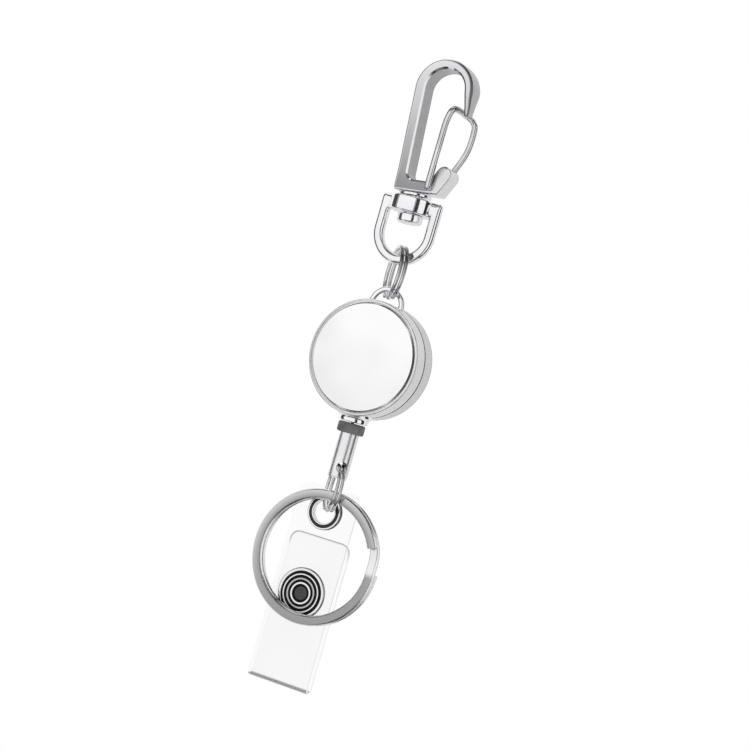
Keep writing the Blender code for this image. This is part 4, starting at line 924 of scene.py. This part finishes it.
def keyRingShape():
    # a flat band with sloped edges carried round by angle; its place eases from front to rear in the jog;
    # the flats get painted shade, except in the jog and towards their outer edge near the top, which are left
    # light as painted highlights
    jog = math.radians(keyRing["jog"])
    run = np.linspace(jog / 2, 4 * math.pi - jog / 2, 420)
    angle = (run + math.radians(keyRing["start"]))[:, None]
    fromJog = (run - 2 * math.pi) / jog
    level = (keyRing["layer"] + keyRing["gap"]) / 2 * (2 * ease(fromJog + 0.5) - 1)[:, None]
    band, layer, edge = keyRing["band"] / 2, keyRing["layer"] / 2, keyRing["edge"]
    cut = np.array([(edge - band, -layer), (band - edge, -layer), (band, edge - layer), (band, layer - edge)])
    section = fillet(np.concatenate([cut, -cut]), [keyRing["corner"]] * 8, 3)[None]
    radius = keyRing["outside"] / 2 - band + section[..., 0]
    grid = np.stack([radius * np.cos(angle), level + section[..., 1], radius * np.sin(angle)], -1)
    brightFrom, brightOver = keyRing["jogBright"]
    shadeOutsideJog = ease((np.abs(fromJog) - brightFrom) / brightOver)[:, None]
    onFlat = np.abs(section[..., 1]) > layer - keyRing["flatBand"]
    upper = ease(0.5 + 0.5 * np.sin(angle - math.radians(keyRing["shineFrom"])))
    tone = shadeOutsideJog * onFlat * (1 - keyRing["shine"] * upper * (section[..., 0] > 0))
    return solidGrid((boxMiddle("key_ring") + grid) * mm), tone.reshape(-1)


keyShape, keyTone = keyRingShape()
keyPiece = piece("keyRing", keyShape, bandNickel, "key_ring", ("key_ring",), keyRing["sharp"])
mark(keyPiece, "tone", keyTone)


# strap: one sheet of clear vinyl, front leaf, fold and rear flap
strap = {"width": 16.8, "thick": 0.5, "corner": 2.5, "hole": 3.2, "edgeBand": 0.32, "edgeTone": 0.06,
         "foldFrom": 0.47, "foldFade": 0.6, "endBand": 0.5, "endFade": (1.5, 3.5)}
leafLow, leafHigh = boxEnds("strap_leaf")
flapLow, flapHigh = boxEnds("strap_flap")
halfSheet = strap["thick"] / 2
strapX = (leafLow[0] + leafHigh[0]) / 2
leafY, flapY = leafLow[1] + halfSheet, flapHigh[1] - halfSheet
foldRadius = (flapY - leafY) / 2
foldZ = leafLow[2] + foldRadius + halfSheet
eyeletX, _, eyeletZ = boxMiddle("eyelet")
snapX, _, snapZ = boxMiddle("snap_cap")


def strapSheet(columns=86):
    # down the leaf, half round the fold and up the flap; the width follows the corner arcs at both ends,
    # and cells within the eyelet's hole are left out
    down = np.stack([np.full(230, leafY), np.linspace(leafHigh[2], foldZ, 230)], -1)
    fold = arcPoints((leafY + foldRadius, foldZ), foldRadius, 180, 360, 42)[1:-1]
    rise = np.stack([np.full(180, flapY), np.linspace(foldZ, flapHigh[2], 180)], -1)
    path = np.concatenate([down, fold, rise])
    length = np.concatenate([[0], np.cumsum(np.linalg.norm(np.diff(path, axis=0), axis=1))])
    fromEnd = np.minimum(np.minimum(length, length[-1] - length), strap["corner"])
    narrower = strap["corner"] - np.sqrt(strap["corner"] ** 2 - (strap["corner"] - fromEnd) ** 2)
    x = strapX + (strap["width"] / 2 - narrower)[:, None] * np.linspace(-1, 1, columns)
    middle = np.stack([x, np.broadcast_to(path[:, :1], x.shape), np.broadcast_to(path[:, 1:], x.shape)], -1)
    ahead = unit(np.gradient(path, axis=0))
    normal = np.stack([np.zeros(len(path)), ahead[:, 1], -ahead[:, 0]], -1)
    away = np.hypot(middle[..., 0] - eyeletX, middle[..., 2] - eyeletZ)
    away = np.where(middle[..., 1] > leafY + 0.01, strap["width"], away)
    cell = (away[:-1, :-1] + away[1:, :-1] + away[:-1, 1:] + away[1:, 1:]) / 4
    normal = np.broadcast_to(normal[:, None], middle.shape)
    return thickSheet(middle, normal, strap["thick"], cell > strap["hole"])


def strapTone(points):
    # painted grey shade where light runs along the sheet: at the fold, round the flap's free end and faintly
    # at the edges
    x, y, z = (points / mm).T
    onFold = ease((foldZ - foldRadius * strap["foldFrom"] - z) / strap["foldFade"])
    onFlap = y > leafY + 1.0
    topGap = np.where(onFlap, flapHigh[2], leafHigh[2]) - z
    sideGap = strap["width"] / 2 - np.abs(x - strapX)
    nearEdge = ease(1 - np.minimum(sideGap, topGap) / strap["edgeBand"])
    cornerX = np.maximum(strap["corner"] - sideGap, 0.0)
    cornerZ = np.maximum(strap["corner"] - (flapHigh[2] - z), 0.0)
    endGap = strap["corner"] - np.hypot(cornerX, cornerZ)
    endFrom, endOver = strap["endFade"]
    onEnd = onFlap * ease(1 - endGap / strap["endBand"]) * ease(1 - (topGap - endFrom) / endOver)
    return np.maximum(np.maximum(onFold, onEnd), strap["edgeTone"] * nearEdge)


strapPoints, strapGroups, cutCount = strapSheet()
strapPiece = piece("vinylStrap", (strapPoints, strapGroups), vinyl, None,
                   ("strap_leaf", "strap_flap"))
strapPiece.data.materials.append(cutVinyl)
strapFaces = len(strapGroups[0])
isCut = np.arange(strapFaces) >= strapFaces - cutCount
strapPiece.data.polygons.foreach_set("material_index", isCut.astype(np.int32))
mark(strapPiece, "tone", strapTone(strapPoints))
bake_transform(strapPiece)


# eyelet and snap: turned parts on the strap, their heights given from the sheet's middle
eyelet = {"radius": 4.5, "hole": 2.9, "wall": 0.35, "groove": (3.34, 3.92), "grooveFloor": 0.30, "slope": 0.1,
          "inner": 0.62, "outer": 0.55, "back": (0.6, 0.5), "seat": 0.02, "grooveTone": 0.96, "rimTone": 0.8}


def eyeletShape():
    # a barrel through the sheet with a grooved flange in front and a plain one behind
    frontSeat, backSeat = halfSheet + eyelet["seat"], -halfSheet - eyelet["seat"]
    inner, outer, floor = (halfSheet + eyelet[key] for key in ("inner", "outer", "grooveFloor"))
    grooveIn, grooveOut = eyelet["groove"]
    radius, hole, slope = eyelet["radius"], eyelet["hole"], eyelet["slope"]
    barrel = hole + eyelet["wall"]
    innerBack, outerBack = (-halfSheet - depth for depth in eyelet["back"])
    corners = [(hole, inner), (grooveIn - slope, inner), (grooveIn, floor), (grooveOut, floor),
               (grooveOut + slope, outer), (radius, outer), (radius, frontSeat), (barrel, frontSeat),
               (barrel, backSeat), (radius, backSeat), (radius, outerBack), (hole, innerBack)]
    profile = fillet(corners, (0.16, 0.1, 0.06, 0.06, 0.12, 0.2, 0, 0, 0, 0, 0.2, 0.2), 5)
    return spin(profile, (eyeletX, leafY, eyeletZ), "front", closed=True)


def eyeletTone(points, slack=0.08):
    # painted shade in the groove of the front flange and a painted dark line round both rims
    x, y, z = (points / mm).T
    out = np.hypot(x - eyeletX, z - eyeletZ)
    grooveIn, grooveOut = eyelet["groove"]
    inGroove = (out > grooveIn - slack) & (out < grooveOut + slack) & (y < leafY)
    return eyelet["grooveTone"] * inGroove + eyelet["rimTone"] * (out > eyelet["radius"] - 0.06)


eyeletMesh = eyeletShape()
eyeletPiece = piece("eyeletRing", eyeletMesh, snapChrome, "strap",
                    ("eyelet", "eyelet_washer"))
mark(eyeletPiece, "tone", eyeletTone(eyeletMesh[0]))

# the "dark" pairs give the tone at each radius, out from the middle: painted dark and light reflection rings
snap = {"radius": 6.4, "floor": 0.70, "ridge": 1.04, "rim": 0.86, "button": (1.65, 0.80), "buttonSlope": 0.13,
        "rimIn": 5.6, "rimOut": 6.1, "rimSlope": 0.14, "axis": 0.15, "post": 1.1, "postDepth": 0.9,
        "seat": 0.02, "side": 0.32, "slope": 0.1, "ridges": ((2.27, 2.76), (3.35, 3.82), (4.48, 4.86)),
        "dark": ((0.0, 0.93), (1.65, 0.93), (1.75, 1.0), (2.2, 1.0), (2.3, 0.0), (2.73, 0.0), (2.83, 1.0),
                 (3.28, 1.0), (3.38, 0.4), (3.79, 0.4), (3.89, 1.0), (4.42, 1.0), (4.51, 0.0), (4.83, 0.0),
                 (4.93, 1.0), (5.46, 1.0), (5.6, 0.0), (6.15, 0.0), (6.36, 0.75))}


def snapProfile():
    # a low disc, three raised rings, a broader rim, then back to the sheet and the post through it
    floor, ridge, rim, slope = snap["floor"], snap["ridge"], snap["rim"], snap["slope"]
    button, buttonTop = snap["button"]
    corners = [(snap["axis"], buttonTop), (button, buttonTop), (button + snap["buttonSlope"], floor)]
    radii = [0, 0.08, 0.04]
    for first, last in snap["ridges"]:
        corners += [(first - slope, floor), (first, ridge), (last, ridge), (last + slope, floor)]
        radii += [0.05, 0.16, 0.16, 0.05]
    seat, postLow = halfSheet + snap["seat"], halfSheet - snap["postDepth"]
    corners += [(snap["rimIn"] - snap["rimSlope"], floor), (snap["rimIn"], rim), (snap["rimOut"], rim),
                (snap["radius"], halfSheet + snap["side"]), (snap["radius"], seat), (snap["post"], seat),
                (snap["post"], postLow), (snap["axis"], postLow)]
    return fillet(corners, radii + [0.05, 0.1, 0.25, 0.1, 0, 0, 0, 0], 5)


def fromSnap(points):
    # distance of each point from the snap's own line
    return np.hypot(points[:, 0] / mm - snapX, points[:, 2] / mm - snapZ)


snapShape = spin(snapProfile(), (snapX, leafY, snapZ), "front")
snapPiece = piece("snapCap", snapShape, snapChrome, "strap", ("snap_cap",))
snapDark = np.interp(fromSnap(snapShape[0]), *np.array(snap["dark"]).T)
mark(snapPiece, "tone", snapDark * (snapShape[0][:, 1] / mm < leafY))

post = {"head": 4.8, "ring": (3.6, 2.4), "dish": 2.2, "depths": (0.02, 0.2, 0.62, 0.42), "length": 0.6,
        "darkTo": 2.3, "tone": 0.9}


def postProfile():
    # the post, a flat head against the sheet, and a raised ring round a shallow dish
    ringOut, ringIn = post["ring"]
    seat, side, top, floor = (-halfSheet - depth for depth in post["depths"])
    corners = [(snap["axis"], post["length"]), (snap["post"], post["length"]), (snap["post"], seat),
               (post["head"], seat), (post["head"], side), (ringOut, top), (ringIn, top),
               (post["dish"], floor), (snap["axis"], floor)]
    return fillet(corners, (0, 0, 0, 0, 0.1, 0.2, 0.12, 0.12, 0), 5)


postShape = spin(postProfile(), (snapX, flapY, snapZ), "front")
postPiece = piece("snapPost", postShape, snapChrome, "strap_flap", ("snap_post",))
# painted shade in the dish round the post's middle
mark(postPiece, "tone", post["tone"] * (fromSnap(postShape[0]) < post["darkTo"]))
print("key ring, strap, eyelet and snap shaped")


# wound cord: the full core as ribbed turns and the last, half-filled layer as one helix
wound = {"cord": 0.8, "pitch": 1.25, "thick": 1.2, "rib": 0.25}


def woundCore():
    # a ring whose outside swells and sinks with the sine, once for each turn across it
    low, high = boxEnds("cord_inner_layers")
    radius, across = (high[0] - low[0]) / 2, high[1] - low[1]
    y = np.linspace(low[1], high[1], 120)
    ribs = np.abs(np.sin(math.pi * round(across / wound["cord"]) * (y - low[1]) / across))
    height = caseMiddle[1] - y
    outside = np.stack([radius - wound["rib"] + wound["rib"] * ribs, height], -1)
    inside = np.stack([np.full(2, radius - wound["thick"]), height[[-1, 0]]], -1)
    return spin(np.concatenate([outside, inside]), caseMiddle, "front", 120, closed=True)


def woundLayer():
    # a helix: one pitch along Y for each turn
    low, high = boxEnds("cord_outer_layer")
    radius = (high[0] - low[0]) / 2 - wound["cord"] / 2
    turns = (high[1] - low[1] - wound["cord"]) / wound["pitch"]
    angle = np.linspace(0, 2 * math.pi * turns, int(80 * turns))
    y = high[1] - wound["cord"] / 2 - wound["pitch"] * angle / (2 * math.pi)
    path = np.stack([radius * np.cos(angle), y, caseMiddle[2] + radius * np.sin(angle)], -1)
    return tube(path, wound["cord"] / 2, 12, caseMiddle)


piece("woundCord", joined(woundCore(), woundLayer()), blackCord, "spool",
      ("cord_inner_layers", "cord_outer_layer"))

# pieces that stay as the CAD made them get their finish only
for node, material in (("centre_post", springSteel), ("spiral_spring", springSteel),
                       ("cord_crimp", springSteel), ("spool", whiteMoulding), ("spring_cover", whiteMoulding),
                       ("snap_socket", chrome), ("snap_stud", chrome)):
    mesh = frame["nodes"][node].data
    mesh.materials.clear()
    mesh.materials.append(material)
print("inside of the reel finished")


# studio: white all round, a pale floor far below, dark flags that put streaks into the chrome;
# each flag is azimuth, elevation, width, height in degrees from the reel, then its grey
studio = {"floorDrop": 0.80, "floorSize": 1.5, "floorLift": 0.15, "floorGrey": 0.92, "level": 0.92,
          "flagAway": 0.6, "matt": 0.9,
          "flags": ((37.0, 0.0, 6.0, 120.0, 0.35), (49.0, 0.0, 18.0, 120.0, 0.05),
                    (107.0, 0.0, 30.0, 120.0, 0.025), (-60.0, 0.0, 8.0, 120.0, 0.35),
                    (-79.0, 0.0, 30.0, 120.0, 0.08), (178.0, 0.0, 84.0, 84.0, 0.84),
                    (24.0, 62.0, 80.0, 22.0, 0.22), (24.0, 78.0, 80.0, 12.0, 0.04),
                    (24.0, -62.0, 80.0, 22.0, 0.22), (24.0, -78.0, 80.0, 12.0, 0.04))}
square = ((-1, -1), (1, -1), (1, 1), (-1, 1))


def stagePlane(name, corners, grey):
    # one matt quad for the studio
    mesh = bpy.data.meshes.new(name)
    mesh.from_pydata(corners, [], [(0, 1, 2, 3)])
    material = bpy.data.materials.new(name)
    material.use_nodes = True
    shader = material.node_tree.nodes["Principled BSDF"]
    shader.inputs["Base Color"].default_value = (grey, grey, grey, 1.0)
    shader.inputs["Roughness"].default_value = studio["matt"]
    shader.inputs["Specular IOR Level"].default_value = 0.0
    mesh.materials.append(material)
    obj = bpy.data.objects.new(name, mesh)
    bpy.context.scene.collection.objects.link(obj)
    return obj


def flagCorners(azimuth, elevation, width, height):
    # a flat oblong square on to the reel, sized by the tangent of half the angles that it covers from there
    azimuth, elevation = math.radians(azimuth), math.radians(elevation)
    out = Vector((math.sin(azimuth) * math.cos(elevation), -math.cos(azimuth) * math.cos(elevation),
                  math.sin(elevation)))
    side = Vector((math.cos(azimuth), math.sin(azimuth), 0.0))
    rise = out.cross(side) * math.tan(math.radians(height / 2))
    side *= math.tan(math.radians(width / 2))
    return [Vector(caseMiddle * mm) + (out + side * a + rise * b) * studio["flagAway"] for a, b in square]


floorReach, floorZ = studio["floorSize"], -studio["floorDrop"]
floorCorners = [(a * floorReach, b * floorReach, floorZ) for a, b in square]
paleFloor = stagePlane("paleFloor", floorCorners, studio["floorGrey"])
floorTree = paleFloor.data.materials[0].node_tree
floorShader = floorTree.nodes["Principled BSDF"]
floorShader.inputs["Emission Color"].default_value = (*[studio["floorLift"]] * 3, 1.0)
floorLight = floorTree.nodes.new("ShaderNodeLightPath")
floorTree.links.new(floorLight.outputs["Is Camera Ray"], floorShader.inputs["Emission Strength"])
for number, (*angles, grey) in enumerate(studio["flags"]):
    flag = stagePlane(f"flag{number}", flagCorners(*angles), grey)
    flag.visible_camera = False
    flag.visible_diffuse = False
    flag.visible_shadow = False
    flag.visible_transmission = False


def whiteRoom():
    # full white to the camera, to reflections and through the vinyl, and a plain level for light that falls
    world = bpy.data.worlds.new("whiteRoom")
    world.use_nodes = True
    nodes, links = world.node_tree.nodes, world.node_tree.links
    lightPath = nodes.new("ShaderNodeLightPath")
    seen = lightPath.outputs["Is Camera Ray"]
    for ray in ("Is Glossy Ray", "Is Transmission Ray"):
        either = nodes.new("ShaderNodeMath")
        either.operation = "MAXIMUM"
        links.new(seen, either.inputs[0])
        links.new(lightPath.outputs[ray], either.inputs[1])
        seen = either.outputs["Value"]
    strength = nodes.new("ShaderNodeMapRange")
    strength.inputs["To Min"].default_value = studio["level"]
    strength.inputs["To Max"].default_value = 1.0
    links.new(seen, strength.inputs["Value"])
    nodes["Background"].inputs["Color"].default_value = (1.0, 1.0, 1.0, 1.0)
    links.new(strength.outputs["Result"], nodes["Background"].inputs["Strength"])
    return world


bpy.context.scene.world = whiteRoom()
print("studio set")
